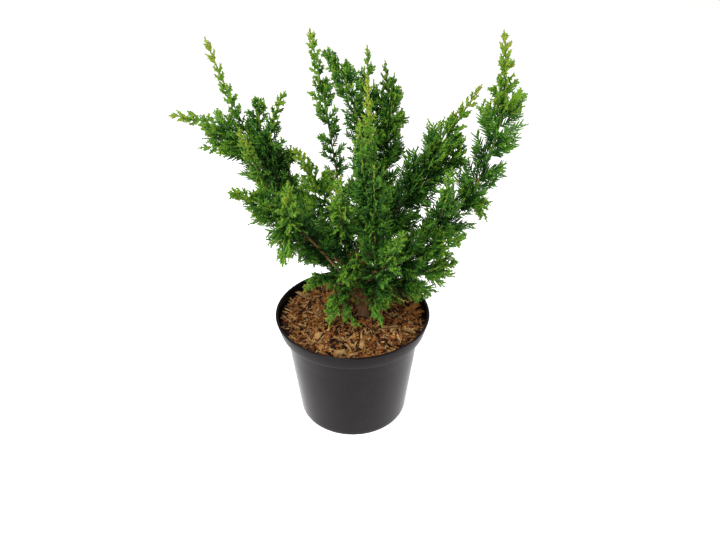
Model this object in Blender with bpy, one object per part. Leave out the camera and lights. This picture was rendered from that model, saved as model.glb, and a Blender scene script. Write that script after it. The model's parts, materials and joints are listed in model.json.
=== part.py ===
"""A dwarf hinoki cypress in a round nursery pot, built in metres with +Z up.

The pot stands on the origin and the plant's front faces -Y. The trunk rises from the bark mulch and
forks into bare boughs. Each bough ends where it enters a mass of foliage: a stem that carries toothed
sprays, with shorter leaders that grow out of the same stem fused on.
"""

import math
from dataclasses import dataclass

import bmesh
import bpy
import numpy as np

MM = 0.001
CLEAR = 0.3 * MM  # the gap between two pieces that touch on the real plant

# The pot, from the outside of its rim to its foot.
RIM_RADIUS = 85 * MM
POT_HEIGHT = 130 * MM
COLLAR_DEPTH = 17 * MM
COLLAR_FOOT_RADIUS = 81.2 * MM
SHOULDER_RADIUS = 75 * MM
BASE_RADIUS = 62 * MM
WALL = 1.6 * MM
LIP_WIDTH = 2.8 * MM
LIP_ROUND = 0.9 * MM
FLOOR = 3 * MM
LEDGE_DROP = 0.1 * MM  # of the step inside the collar
GROOVE_DEPTH = 1.4 * MM
GROOVE_RADII = (42 * MM, 55 * MM)
DRAIN_HOLES = 6
DRAIN_SIDES = 8
DRAIN_RADIUS = 4.5 * MM
POT_SEGMENTS = 32

# The mulch that fills the pot: flat round the trunk, a little lower at the wall.
MULCH_TOP = 123.5 * MM
MULCH_FALL = 2.5 * MM
MULCH_FLAT_RADIUS = 62 * MM
MULCH_INSET = 0.6 * MM  # from the inside of the pot, measured level

# The trunk leans from its foot towards its fork, and flares where it meets the mulch.
TRUNK_FOOT = (12 * MM, 0.0)
TRUNK_FORK = (2 * MM, 5 * MM)
TRUNK_BOW = (-1.0 * MM, 0.6 * MM)
TRUNK_HEIGHT = 70 * MM
TRUNK_RADIUS = 4.0 * MM
TRUNK_FORK_RADIUS = 2.6 * MM
FLARE = 3.2 * MM
FLARE_HEIGHT = 7 * MM
TRUNK_SIDES = 9
TRUNK_RINGS = 9
RING_CROWDING = 1.5  # over 1, the trunk's rings crowd towards the flare

# Limbs and stems.
BOUGH_RADIUS = 1.9 * MM
STEM_RADIUS = 1.15 * MM
TIP_RADIUS = 0.45 * MM
POINT_LENGTH = 2  # of a stem's pointed tip, in tip radii
BOUGH_SIDES = 6
STEM_SIDES = 3
RING_STEP = 22 * MM  # the length of one straight piece of a limb
FEWEST_RINGS = 4
LENGTH_STEPS = 60  # straight pieces that a curve's length is measured with
UPRIGHT_GUARD = 1e-9  # keeps the level direction defined where a limb stands upright

# Sprays: side twigs with their needles, as toothed blades.
SEED = 17
GOLDEN_ANGLE = 137.5  # degrees round the stem from one spray to the next
TURN_SPREAD = 20  # degrees
SPRAY_STEP = 13.5 * MM
STEP_SPREAD = 0.3
FIRST_SPRAY = 4 * MM  # from where the foliage starts to its first spray
TIP_SPRAY = 10 * MM  # the length of the side spray next to a leader's last stretch
SPRAY_GROWTH = 0.62  # how much longer a side spray gets for each length away from there
SIZE_SPREAD = 0.05
TOOTH_STEP = 12 * MM
TEETH = (2, 4)  # the fewest and the most on each side of a spray
SPRAY_THICKNESS = 1.8 * MM
SPRAY_NECK = 1.3 * MM
TOOTH_SHARE = 0.37  # how far a tooth stands out, as a share of its spray's length
FAR_TOOTH_LOSS = 0.85  # what the tooth next to a spray's tip lacks of that
VALLEY_LEAD = 0.45  # how far forward of its place the valley before a tooth stands, in steps
TOOTH_LEAD = 1.25  # the same for a tooth's tip
RIB_SHARE = 0.80  # the toothed part of a spray's length
RIDGE_SHARE = 0.42  # where along a spray it is thickest
SPRAY_BEND = 0.10  # how far a spray's tip bends towards its stem, as a share of its length
LEAN_AT_FOOT = 52  # degrees between a spray and its stem
LEAN_AT_TIP = 34
LEAN_STRETCH = 90 * MM  # from the tip to where the lean is full
LEAN_SWING = 6
KEEP_AWAY = 0.8 * MM  # how much nearer a spray stays to its own stem than to the next mass
TRIED_SHARES = (1.0, 0.85, 0.7, 0.55, 0.42)  # of a spray's length, until one fits the room
TRIED_TURNS = (0, 22, -22, 45, -45)  # degrees aside, the same way
ABOVE_MULCH = 2 * MM
TESTED_POINTS = 40  # along each limb, where the room is tested

# Spurs: the short side shoots along a leader's last stretch.
END_SHARE = 0.34  # the last stretch, as a share of the foliage's length, where that is less than its end
SPUR_STEP = 11 * MM
FIRST_SPUR = 0.9  # from the tip to the first spur, in steps
SPUR_LENGTHS = (6 * MM, 12 * MM)  # at the tip and at the foot of the stretch
SPUR_LEAN = 38
SPUR_RADIUS = 1.9 * MM
SPUR_SEED = 1000  # added to the seed that a shoot's sprays take

BARK = (0.36, 0.21, 0.11)
YOUNG_BARK = (0.44, 0.30, 0.12)
OLD_GREEN = (0.035, 0.12, 0.03)
FRESH_GREEN = (0.13, 0.30, 0.04)
MULCH_BROWN = (0.20, 0.10, 0.045)
POT_BLACK = (0.018, 0.017, 0.019)
GREEN_SHARES = (0.25, 0.5, 0.75)  # of the fresh green, dealt out to the masses in turn
BARK_ROUGHNESS = 0.9
LEAF_ROUGHNESS = 0.6
MULCH_ROUGHNESS = 0.95
POT_ROUGHNESS = 0.35
SHARP_EDGE = 40  # degrees between faces, over which an edge of a round piece stays sharp


@dataclass
class Shoot:
    """One leader with its side sprays: a bare bough first where bare is over 0, then foliage to the tip.

    parent is the trunk or another shoot, and at is how far along it this one leaves. tip is in mm from
    the pot's axis and base. out and up are the shares of the sideways reach and of the rise that the
    curve's control point has made, and bend moves that point on to the right and up, in mm. width is its
    longest side spray in mm, flat turns its first spray about the stem, in degrees, and end is the length
    in mm of its last stretch, which carries short spurs.
    """

    name: str
    parent: str
    at: float
    tip: tuple
    out: float
    up: float
    bare: float
    width: float
    flat: float
    end: float = 46.0
    bend: tuple = (0, 0)


# A shoot with no bare part grows out of its parent's foliage and is fused with it.
SHOOTS = [
    Shoot("left_high", "trunk", 0.76, (-134, 30, 414), 0.58, 0.26, 0.2, 36, 10, end=66, bend=(-4, -1)),
    Shoot("left_high_inner", "left_high", 0.45, (-59, -5, 375), 0.25, 0.5, 0, 25, 20, bend=(-29, 3)),
    Shoot("left_high_middle", "left_high", 0.62, (-87, 12, 363), -0.15, 0.79, 0, 21, 70),
    Shoot("left_high_spur", "left_high", 0.42, (-58, -6, 319), -0.26, 0.85, 0, 14, 0),
    Shoot("left_side", "left_high", 0.55, (-176, 25, 342), 0.4, 0.82, 0.12, 32, 0, end=36, bend=(1, 13)),
    Shoot("left_side_low", "left_side", 0.30, (-147, 2, 318), 0.42, 0.52, 0, 25, 20, end=30, bend=(6, 3)),
    Shoot("left_side_front", "left_high", 0.46, (-99, -32, 350), 0.67, 0.32, 0, 16, 30),
    Shoot("left_low", "trunk", 0.52, (-107, -60, 299), 0.67, 0.93, 0.34, 33, 0, end=62),
    Shoot("left_low_upper", "left_low", 0.50, (-54, -74, 317), 1.25, 0.3, 0, 20, 10),
    Shoot("left_low_under", "left_low", 0.47, (-67, -50, 217), 0.93, 0.49, 0, 28, 0, end=6),
    Shoot("left_low_inner", "left_low", 0.36, (-53, -34, 212), 0.6, 0.3, 0, 24, 20, end=6),
    Shoot("left_low_back", "left_low", 0.30, (-39, -20, 197), 0.6, 0.44, 0, 24, 40, end=6),
    Shoot("front_left", "trunk", 0.74, (-50, -45, 336), 0.4, 0.61, 0.18, 28, 10, end=36),
    Shoot("front_tuft", "front_left", 0.30, (-8, -82, 325), 0.75, 0.45, 0.1, 21, 15),
    Shoot("upright_left", "trunk", 0.90, (-39, 50, 417), 0.19, 0.47, 0.18, 19, 60, bend=(-10, 11)),
    Shoot("upright_back", "trunk", 1.00, (32, 42, 390), 1.61, 0.28, 0.14, 26, 15, end=18),
    Shoot("upright_back_top", "upright_back", 0.40, (15, 38, 405), 0.79, 0.24, 0, 25, 30, end=14),
    Shoot("upright_back_side", "upright_back", 0.52, (41, 36, 380), 0.45, 0.4, 0, 20, 50, end=10),
    Shoot("upright_arch", "upright_back", 0.16, (-26, 34, 400), 0.08, 0.91, 0, 21, 80, end=40),
    Shoot("right_front", "trunk", 0.55, (47, -78, 271), 0.74, 0.48, 0.2, 26, 20),
    Shoot("upright_front", "right_front", 0.36, (14, -62, 404), 0.41, 0.28, 0.14, 27, 30, end=64),
    Shoot("upright_front_low", "upright_front", 0.46, (8, -72, 370), 0.91, 0.42, 0, 20, 60),
    Shoot("upright_front_small", "upright_front", 0.32, (20, -78, 333), 0.56, 0.47, 0, 19, 60),
    Shoot("right_inner", "trunk", 0.86, (123, 25, 372), 0.45, 0.42, 0.16, 36, 0, end=34),
    Shoot("right_inner_side", "right_inner", 0.40, (80, 20, 317), 1.06, 0.37, 0, 17, 0),
    Shoot("right_inner_low", "right_inner", 0.48, (109, 6, 328), 0.7, 0.35, 0, 22, 40, end=10),
    Shoot("right_outer", "trunk", 0.66, (131, -10, 428), 1.28, 0.35, 0.24, 31, 0, end=38),
    Shoot("right_outer_under", "right_outer", 0.42, (133, -22, 251), 0.61, 0.26, 0, 28, 0, end=6, bend=(-6, 27)),
    Shoot("right_outer_front", "right_outer", 0.28, (88, -62, 324), 0.73, 0.42, 0.12, 30, 30),
    Shoot("right_middle", "trunk", 0.60, (109, -48, 252), 0.58, 0.64, 0.2, 32, 0, end=18),
    Shoot("right_low", "trunk", 0.34, (104, -45, 219), 0.54, 0.56, 0.22, 30, 0, end=12),
    Shoot("right_low_under", "right_low", 0.40, (92, -12, 162), 0.45, 0.51, 0, 24, 0, end=6, bend=(-7, -4)),
    Shoot("front_low_left", "trunk", 0.26, (-24, -48, 142), 0.41, 0.6, 0.22, 17, 0, end=18, bend=(-8, 50)),
    Shoot("front_low_dark", "front_low_left", 0.30, (9, -36, 134), 0.46, 0.5, 0, 13, 0, bend=(-18, -2)),
    Shoot("front_low_right", "trunk", 0.28, (31, -50, 144), 0.35, 0.6, 0.22, 19, 0, end=8, bend=(6, 31)),
    Shoot("front_low_edge", "trunk", 0.38, (53, -40, 169), 0.28, 0.68, 0.26, 21, 0, end=8, bend=(-11, 19)),
    Shoot("front_middle", "trunk", 0.62, (-3, -58, 201), 0.56, 0.74, 0.22, 25, 0, end=18, bend=(-6, 22)),
    Shoot("front_middle_top", "front_middle", 0.30, (5, -48, 229), 0.82, 0.32, 0, 14, 0),
    Shoot("low_left", "trunk", 0.42, (-51, -18, 166), 0.44, 0.69, 0.24, 20, 0, end=18, bend=(-4, 36)),
    Shoot("low_left_front", "low_left", 0.40, (-19, -30, 174), 0.5, 0.5, 0, 14, 0, bend=(1, 0)),
    Shoot("back_left", "trunk", 0.66, (-106, 96, 283), 0.6, 0.45, 0.2, 32, 0),
    Shoot("back_middle", "trunk", 0.82, (14, 112, 292), 0.7, 0.45, 0.2, 30, 0),
    Shoot("back_right", "trunk", 0.76, (88, 92, 290), 0.62, 0.45, 0.2, 32, 0),
    Shoot("back_low_left", "trunk", 0.50, (-60, 82, 200), 0.55, 0.6, 0.22, 28, 0),
    Shoot("back_low_middle", "trunk", 0.42, (12, 92, 178), 0.55, 0.75, 0.24, 26, 0),
    Shoot("back_low_right", "trunk", 0.56, (80, 60, 200), 0.55, 0.6, 0.22, 28, 0),
]


def unit(vector):
    """The vector at length 1."""
    return vector / np.linalg.norm(vector, axis=-1, keepdims=True)


def trunk_axis(t):
    """Points on the trunk's centre line, for shares t of its height: straight up with a slight bow."""
    t = np.asarray(t, float)[..., None]
    foot = np.array([*TRUNK_FOOT, MULCH_TOP + CLEAR])
    fork = np.array([*TRUNK_FORK, MULCH_TOP + CLEAR + TRUNK_HEIGHT])
    bow = np.array([*TRUNK_BOW, 0.0])
    return foot + (fork - foot) * t + bow * np.sin(np.pi * t)


def trunk_radius(t):
    """The trunk's radius at shares t of its height: an even taper, and a flare that dies away upwards."""
    t = np.asarray(t, float)
    taper = TRUNK_RADIUS + (TRUNK_FORK_RADIUS - TRUNK_RADIUS) * t
    return taper + FLARE * np.exp(-t * TRUNK_HEIGHT / FLARE_HEIGHT)


def limb_radius(t, bare):
    """A shoot's radius at shares t of its length: bough thickness where it leaves, fine at its tip."""
    foot = BOUGH_RADIUS if bare > 0 else STEM_RADIUS
    return np.interp(t, [0, bare, 1], [foot, STEM_RADIUS, TIP_RADIUS])


class Limb:
    """The curve of one shoot: a quadratic curve from where it leaves its parent to its tip."""

    def __init__(self, shoot, limbs):
        self.shoot = shoot
        self.bare = shoot.bare
        tip = np.array(shoot.tip, float) * MM
        if shoot.parent == "trunk":
            axis, radius = trunk_axis(shoot.at), float(trunk_radius(shoot.at))
            along = unit(trunk_axis(1.0) - trunk_axis(0.0))
        else:
            parent = limbs[shoot.parent]
            axis, radius = parent.point(shoot.at), float(parent.radius(shoot.at))
            along = parent.direction(shoot.at)
        side = tip - axis
        right, up = shoot.bend
        middle = np.array([shoot.out, shoot.out, shoot.up]) * side + np.array([right, 0, up]) * MM
        start = axis
        if shoot.bare > 0:
            # The bough's flat foot stands clear of the side or the end of the wood it leaves.
            away = unit(middle)
            if shoot.at < 1:
                outward = unit(middle - along * (middle @ along))
                slope = math.sqrt(max(0.0, 1 - (away @ outward) ** 2))
                start = axis + outward * (radius + CLEAR + BOUGH_RADIUS * slope)
            else:
                slope = math.sqrt(max(0.0, 1 - (away @ along) ** 2))
                start = axis + along * (CLEAR + BOUGH_RADIUS * slope)
        self.ends = start, axis + middle, tip
        steps = self.point(np.linspace(0, 1, LENGTH_STEPS))
        self.length = float(np.linalg.norm(np.diff(steps, axis=0), axis=1).sum())

    def point(self, t):
        """Points on the curve at t from 0 to 1."""
        t = np.asarray(t, float)[..., None]
        start, middle, tip = self.ends
        return (1 - t) ** 2 * start + 2 * t * (1 - t) * middle + t**2 * tip

    def direction(self, t):
        """Unit vectors along the curve at t."""
        t = np.asarray(t, float)[..., None]
        start, middle, tip = self.ends
        return unit(2 * (1 - t) * (middle - start) + 2 * t * (tip - middle))

    def radius(self, t):
        """The limb's radius at t."""
        return limb_radius(t, self.bare)

    def frame(self, t, turn):
        """A unit vector square to the curve at t, turned about it: 0 points sideways, 90 up."""
        along = self.direction(t)
        level = unit(np.cross(along, [0.0, 0.0, 1.0]) + UPRIGHT_GUARD)
        upward = np.cross(level, along)
        return math.cos(turn) * level + math.sin(turn) * upward


def mesh_object(name, points, faces, colour, roughness, smooth_over=None):
    """A mesh object with its own material. smooth_over is the edge angle, in degrees, that stays sharp."""
    mesh = bpy.data.meshes.new(name)
    mesh.from_pydata([tuple(p) for p in points], [], faces)
    mesh.update()
    if smooth_over is not None:
        mesh.shade_smooth()
        mesh.set_sharp_from_angle(angle=math.radians(smooth_over))
    material = bpy.data.materials.new(name)
    material.use_nodes = True
    shader = material.node_tree.nodes["Principled BSDF"]
    shader.inputs["Base Color"].default_value = (*colour, 1)
    shader.inputs["Roughness"].default_value = roughness
    mesh.materials.append(material)
    made = bpy.data.objects.new(name, mesh)
    bpy.context.scene.collection.objects.link(made)
    return made


def turned(profile, segments):
    """Points and faces of a solid of revolution. The profile runs from the axis, up the outside and back."""
    points, faces, rings = [], [], []
    for radius, height in profile:
        if radius == 0:
            rings.append([len(points)] * segments)
            points.append((0.0, 0.0, height))
            continue
        rings.append(list(range(len(points), len(points) + segments)))
        for k in range(segments):
            angle = 2 * math.pi * k / segments
            points.append((radius * math.cos(angle), radius * math.sin(angle), height))
    for low, high in zip(rings, rings[1:]):
        for k in range(segments):
            n = (k + 1) % segments
            corners = list(dict.fromkeys([low[k], low[n], high[n], high[k]]))
            faces.append(corners)
    return points, faces


def tube(points, along, radii, sides, pointed=False):
    """Points and faces of a round limb with flat ends or a pointed tip.

    It runs through the centre points, and each of its rings stands square to the direction given there.
    """
    across = unit(np.cross(along[0], [0.3, 1.0, 0.2]))
    verts, faces = [], []
    for centre, forward, radius in zip(points, along, radii):
        across = unit(across - forward * (across @ forward))
        up = np.cross(forward, across)
        for k in range(sides):
            angle = 2 * math.pi * k / sides
            verts.append(centre + radius * (math.cos(angle) * across + math.sin(angle) * up))
    rings = len(points)
    for ring in range(rings - 1):
        for k in range(sides):
            n = (k + 1) % sides
            low, high = ring * sides, (ring + 1) * sides
            faces.append([low + k, low + n, high + n, high + k])
    faces.append(list(range(sides))[::-1])
    last = (rings - 1) * sides
    if pointed:
        verts.append(points[-1] + along[-1] * radii[-1] * POINT_LENGTH)
        faces += [[last + k, last + (k + 1) % sides, len(verts) - 1] for k in range(sides)]
    else:
        faces.append([last + k for k in range(sides)])
    return verts, faces


def toothed_blade(root, along, across, length, reach):
    """Points and faces of a spray: a thin blade whose outline is cut into forward-leaning teeth.

    The outline rises to one ridge point above and one below. The far half bends towards the stem.
    """
    teeth = int(np.clip(round(length / TOOTH_STEP), *TEETH))
    step = length * RIB_SHARE / teeth
    normal = np.cross(along, across)

    def place(x, y, z=0.0):
        bend = SPRAY_BEND * length * (x / length) ** 2
        return root + along * x - across * bend + across * y + normal * z

    left, right = [], []
    for k in range(teeth):
        stands = reach * (1 - FAR_TOOTH_LOSS * k / teeth)
        for side, sign in ((left, 1), (right, -1)):
            side.append(place((k + VALLEY_LEAD) * step, sign * SPRAY_NECK))
            side.append(place((k + TOOTH_LEAD) * step, sign * (SPRAY_NECK + stands)))
    outline = [root, *left, place(length, 0), *right[::-1]]
    ridge = length * RIDGE_SHARE
    points = [*outline, place(ridge, 0, SPRAY_THICKNESS / 2), place(ridge, 0, -SPRAY_THICKNESS / 2)]
    above, below, faces = len(outline), len(outline) + 1, []
    for k in range(len(outline)):
        n = (k + 1) % len(outline)
        faces += [[n, k, above], [k, n, below]]
    return points, faces


def sprays_of(limb, seed):
    """The places of a shoot's side sprays: share of its length, turn about it, lean and length.

    They stand SPRAY_STEP apart and turn by the golden angle from one to the next. A spray is as long as
    its distance from the tip allows, up to the shoot's width.
    """
    rng = np.random.default_rng(seed)
    first = limb.bare * limb.length + FIRST_SPRAY
    last = limb.length - leader_end(limb)
    count = max(1, int((last - first) / SPRAY_STEP) + 1)
    found = []
    for k in range(count):
        wobble, jitter, size, swing = rng.uniform(-1, 1, 4)
        distance = first + (k + STEP_SPREAD * wobble) * SPRAY_STEP
        t = distance / limb.length
        turn = GOLDEN_ANGLE * k + TURN_SPREAD * jitter + limb.shoot.flat
        away = limb.length - distance
        longest = min(limb.shoot.width * MM, TIP_SPRAY + SPRAY_GROWTH * (away - leader_end(limb)))
        lean = LEAN_AT_TIP + (LEAN_AT_FOOT - LEAN_AT_TIP) * min(1, away / LEAN_STRETCH) + LEAN_SWING * swing
        found.append((t, turn, lean, longest * (1 - SIZE_SPREAD + SIZE_SPREAD * size)))
    return found


def leader_end(limb):
    """The length of a shoot's last stretch, which carries spurs."""
    return min(limb.shoot.end * MM, END_SHARE * (1 - limb.bare) * limb.length)


def spurs_of(limb, seed):
    """The places of a shoot's spurs, as sprays_of gives its sprays."""
    rng = np.random.default_rng(seed + SPUR_SEED)
    stretch = leader_end(limb)
    count = int(stretch / SPUR_STEP)
    near, far = SPUR_LENGTHS
    found = []
    for k in range(count):
        away = (k + FIRST_SPUR) * SPUR_STEP
        jitter, swing = rng.uniform(-1, 1, 2)
        share = away / stretch
        turn = GOLDEN_ANGLE * k + TURN_SPREAD * jitter
        lean = SPUR_LEAN + LEAN_SWING * swing
        found.append((1 - away / limb.length, turn, lean, near + (far - near) * share))
    return found


def pyramid(root, along, across, length, radius):
    """Points and faces of a spur: three sides that meet in a point."""
    up = np.cross(along, across)
    turns = [2 * math.pi * k / 3 for k in range(3)]
    corners = [root + radius * (math.cos(a) * across + math.sin(a) * up) for a in turns]
    return [*corners, root + along * length], [[2, 1, 0], [0, 1, 3], [1, 2, 3], [2, 0, 3]]


class Space:
    """The room of each mass: what lies nearer to its own stems than to any other stem, clear of wood."""

    def __init__(self, limbs):
        self.stems, self.wood = {}, []
        for name, limb in limbs.items():
            mass = mass_of(name, limbs)
            foliage = limb.point(np.linspace(limb.bare, 1, TESTED_POINTS))
            self.stems.setdefault(mass, []).append(foliage)
            if limb.bare > 0:
                t = np.linspace(0, limb.bare, TESTED_POINTS)
                self.wood.append((limb.point(t), limb.radius(t)))
        t = np.linspace(0, 1, TESTED_POINTS)
        self.wood.append((trunk_axis(t), trunk_radius(t)))
        self.stems = {mass: np.concatenate(parts) for mass, parts in self.stems.items()}

    @staticmethod
    def nearest(points, others):
        """Each point's distance from the nearest of the others."""
        return np.linalg.norm(points[:, None] - others[None], axis=2).min(axis=1)

    def holds(self, mass, points, faces):
        """Whether a solid lies in its mass's own room, over the mulch and clear of the wood.

        It is tested at its corners, and at the middles of its edges and faces.
        """
        corners = np.asarray(points)
        edges = [(corners[f[0]] + corners[f[1]]) / 2 for f in faces]
        middles = [corners[list(f)].mean(axis=0) for f in faces]
        points = np.concatenate([corners, edges, middles])
        if points[:, 2].min() < MULCH_TOP + ABOVE_MULCH:
            return False
        low = points[:, 2] < POT_HEIGHT + ABOVE_MULCH
        if low.any() and np.linalg.norm(points[low, :2], axis=1).max() > RIM_RADIUS - 2 * LIP_WIDTH:
            return False
        own = self.nearest(points, self.stems[mass])
        for other, stems in self.stems.items():
            if other != mass and (self.nearest(points, stems) < own + KEEP_AWAY).any():
                return False
        for axis, radii in self.wood:
            gaps = np.linalg.norm(points[:, None] - axis[None], axis=2) - radii[None]
            if gaps.min() < KEEP_AWAY:
                return False
        return True


def mass_of(name, limbs):
    """The shoot whose foliage this one is fused with: itself if it has a bough."""
    while limbs[name].bare == 0:
        name = limbs[name].shoot.parent
    return name


def grow_limbs():
    """Every shoot's curve, by name."""
    limbs = {}
    for shoot in SHOOTS:
        limbs[shoot.name] = Limb(shoot, limbs)
    return limbs


def set_off(limb, t, turn, lean):
    """Unit vectors along and across a side shoot that leaves the limb at t. Angles are in degrees."""
    turn, lean = math.radians(turn), math.radians(lean)
    forward, outward = limb.direction(t), limb.frame(t, turn)
    along = math.cos(lean) * forward + math.sin(lean) * outward
    return along, math.cos(lean) * outward - math.sin(lean) * forward


def foliage_pieces(limb, mass, space, seed):
    """The solids of one shoot's foliage: its stem, its toothed side sprays and the spurs at its end."""
    gap = CLEAR / limb.length if limb.bare > 0 else 0
    rings = max(FEWEST_RINGS, int(limb.length * (1 - limb.bare) / RING_STEP) + 2)
    t = np.linspace(limb.bare + gap, 1, rings)
    pieces = [tube(limb.point(t), limb.direction(t), limb.radius(t), STEM_SIDES, pointed=True)]
    for t, turn, lean, length in spurs_of(limb, seed):
        along, across = set_off(limb, t, turn, lean)
        spur = pyramid(limb.point(t), along, across, length, SPUR_RADIUS)
        if space.holds(mass, *spur):
            pieces.append(spur)
    for t, turn, lean, length in sprays_of(limb, seed):
        blade = fitting_blade(limb, mass, space, t, turn, lean, length)
        if blade:
            pieces.append(blade)
    return pieces


def fitting_blade(limb, mass, space, t, turn, lean, length):
    """The longest blade for this place that keeps to its mass's own room, turned aside where that helps."""
    for share in TRIED_SHARES:
        for aside in TRIED_TURNS:
            along, across = set_off(limb, t, turn + aside, lean)
            size = length * share
            blade = toothed_blade(limb.point(t), along, across, size, size * TOOTH_SHARE)
            if space.holds(mass, *blade):
                return blade
    return None


def fused(name, pieces, colour):
    """One closed solid from many overlapping ones, by a Boolean union on a collection."""
    joined = mesh_object(name, *pieces[0], colour, LEAF_ROUGHNESS)
    others = bpy.data.collections.new(name + "_parts")
    bpy.context.scene.collection.children.link(others)
    for number, (points, faces) in enumerate(pieces[1:]):
        extra = mesh_object(f"{name}_{number}", points, faces, colour, LEAF_ROUGHNESS)
        bpy.context.scene.collection.objects.unlink(extra)
        others.objects.link(extra)
    union = joined.modifiers.new("Union", "BOOLEAN")
    union.operation = "UNION"
    union.operand_type = "COLLECTION"
    union.collection = others
    union.solver = "MANIFOLD"
    graph = bpy.context.evaluated_depsgraph_get()
    result = bpy.data.meshes.new_from_object(joined.evaluated_get(graph), depsgraph=graph)
    joined.modifiers.clear()
    joined.data = result
    for extra in list(others.objects):
        bpy.data.objects.remove(extra)
    bpy.data.collections.remove(others)
    keep_largest(joined.data)
    return joined


def keep_largest(mesh):
    """Drops loose scraps and any sealed hollow, so that one closed body is left."""
    body = bmesh.new()
    body.from_mesh(mesh)
    left, shells = set(body.verts), []
    while left:
        shell, edge = set(), [left.pop()]
        while edge:
            vertex = edge.pop()
            shell.add(vertex)
            near = {e.other_vert(vertex) for e in vertex.link_edges} & left
            left -= near
            edge += near
        shells.append(shell)
    shells.sort(key=len)
    for shell in shells[:-1]:
        bmesh.ops.delete(body, geom=list(shell), context="VERTS")
    body.to_mesh(mesh)
    body.free()


def inner_wall(height):
    """The radius of the pot's inside at a height."""
    ledge = POT_HEIGHT - COLLAR_DEPTH - WALL
    if height > ledge:
        share = (height - ledge) / (POT_HEIGHT - ledge)
        foot = COLLAR_FOOT_RADIUS - WALL
        return foot + (RIM_RADIUS - LIP_WIDTH - foot) * share
    share = (height - FLOOR) / (ledge - FLOOR)
    return BASE_RADIUS - WALL + (SHOULDER_RADIUS - BASE_RADIUS) * share


def make_pot():
    """The nursery pot: a tapered wall, a wider collar and a flat foot with drainage holes in a groove."""
    ledge = POT_HEIGHT - COLLAR_DEPTH
    inside = ledge - WALL
    groove_in, groove_out = GROOVE_RADII
    profile = [
        (0, 0),
        (groove_in, 0),
        (groove_in + GROOVE_DEPTH, GROOVE_DEPTH),
        (groove_out - GROOVE_DEPTH, GROOVE_DEPTH),
        (groove_out, 0),
        (BASE_RADIUS - LIP_ROUND, 0),
        (BASE_RADIUS, LIP_ROUND),
        (SHOULDER_RADIUS, ledge - LIP_ROUND),
        (COLLAR_FOOT_RADIUS - LIP_ROUND, ledge),
        (COLLAR_FOOT_RADIUS, ledge + LIP_ROUND),
        (RIM_RADIUS, POT_HEIGHT - LIP_ROUND),
        (RIM_RADIUS - LIP_ROUND, POT_HEIGHT),
        (RIM_RADIUS - LIP_WIDTH, POT_HEIGHT),
        (COLLAR_FOOT_RADIUS - WALL, inside),
        (SHOULDER_RADIUS - WALL, inside - LEDGE_DROP),
        (inner_wall(FLOOR), FLOOR),
        (0, FLOOR),
    ]
    points, faces = turned(profile, POT_SEGMENTS)
    pot = mesh_object("pot", points, faces, POT_BLACK, POT_ROUGHNESS, smooth_over=SHARP_EDGE)
    middle = (groove_in + groove_out) / 2
    points, faces = [], []
    upward = np.array([[0.0, 0.0, 1.0]] * 2)
    for k in range(DRAIN_HOLES):
        angle = 2 * math.pi * (k + 0.5) / DRAIN_HOLES
        centre = np.array([middle * math.cos(angle), middle * math.sin(angle), 0])
        ends = [centre + [0, 0, -2 * FLOOR], centre + [0, 0, 2 * FLOOR]]
        more_points, more_faces = tube(ends, upward, [DRAIN_RADIUS] * 2, DRAIN_SIDES)
        faces += [[corner + len(points) for corner in face] for face in more_faces]
        points += more_points
    cutter = mesh_object("drain_cutter", points, faces, POT_BLACK, POT_ROUGHNESS)
    cutter.hide_render = True
    cutter.display_type = "WIRE"
    cut = pot.modifiers.new("Drains", "BOOLEAN")
    cut.operation = "DIFFERENCE"
    cut.object = cutter
    cut.solver = "EXACT"


def make_mulch():
    """The bark mulch and the peat under it, filling the pot to just under its rim."""
    edge = MULCH_TOP - MULCH_FALL
    ledge = POT_HEIGHT - COLLAR_DEPTH - WALL
    narrow, wide = SHOULDER_RADIUS - WALL - MULCH_INSET, COLLAR_FOOT_RADIUS - WALL - MULCH_INSET
    profile = [
        (0, FLOOR + CLEAR),
        (inner_wall(FLOOR) - MULCH_INSET, FLOOR + CLEAR),
        (narrow, ledge),
        (narrow, ledge + MULCH_INSET),
        (wide, ledge + 2 * MULCH_INSET),
        (inner_wall(edge) - MULCH_INSET, edge),
        (MULCH_FLAT_RADIUS, MULCH_TOP),
        (0, MULCH_TOP),
    ]
    points, faces = turned(profile, POT_SEGMENTS)
    mesh_object("mulch", points, faces, MULCH_BROWN, MULCH_ROUGHNESS, smooth_over=SHARP_EDGE)


def make_trunk():
    """The trunk, from its flat cut on the mulch to its fork."""
    t = np.linspace(0, 1, TRUNK_RINGS) ** RING_CROWDING
    axis = trunk_axis(t)
    points, faces = tube(axis, unit(np.gradient(axis, axis=0)), trunk_radius(t), TRUNK_SIDES)
    foot = MULCH_TOP + CLEAR
    points = [(x, y, foot) if k < TRUNK_SIDES else (x, y, z) for k, (x, y, z) in enumerate(points)]
    mesh_object("trunk", points, faces, BARK, BARK_ROUGHNESS, smooth_over=SHARP_EDGE)


def make_bough(name, limb):
    """One bare tapering limb, from the wood it leaves to where it enters its foliage."""
    rings = max(FEWEST_RINGS, int(limb.length * limb.bare / RING_STEP) + 2)
    t = np.linspace(0, limb.bare, rings)
    points, faces = tube(limb.point(t), limb.direction(t), limb.radius(t), BOUGH_SIDES)
    mesh_object("bough_" + name, points, faces, YOUNG_BARK, BARK_ROUGHNESS, smooth_over=SHARP_EDGE)


def make_foliage(limbs):
    """Each mass of foliage: its own stem and sprays, and those of the shoots fused with it."""
    space = Space(limbs)
    masses = {}
    for number, (name, limb) in enumerate(limbs.items()):
        mass = mass_of(name, limbs)
        masses.setdefault(mass, []).extend(foliage_pieces(limb, mass, space, SEED + number))
    for number, (mass, pieces) in enumerate(masses.items()):
        share = GREEN_SHARES[number % len(GREEN_SHARES)]
        green = [(1 - share) * old + share * fresh for old, fresh in zip(OLD_GREEN, FRESH_GREEN)]
        fused("foliage_" + mass, pieces, green)


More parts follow.
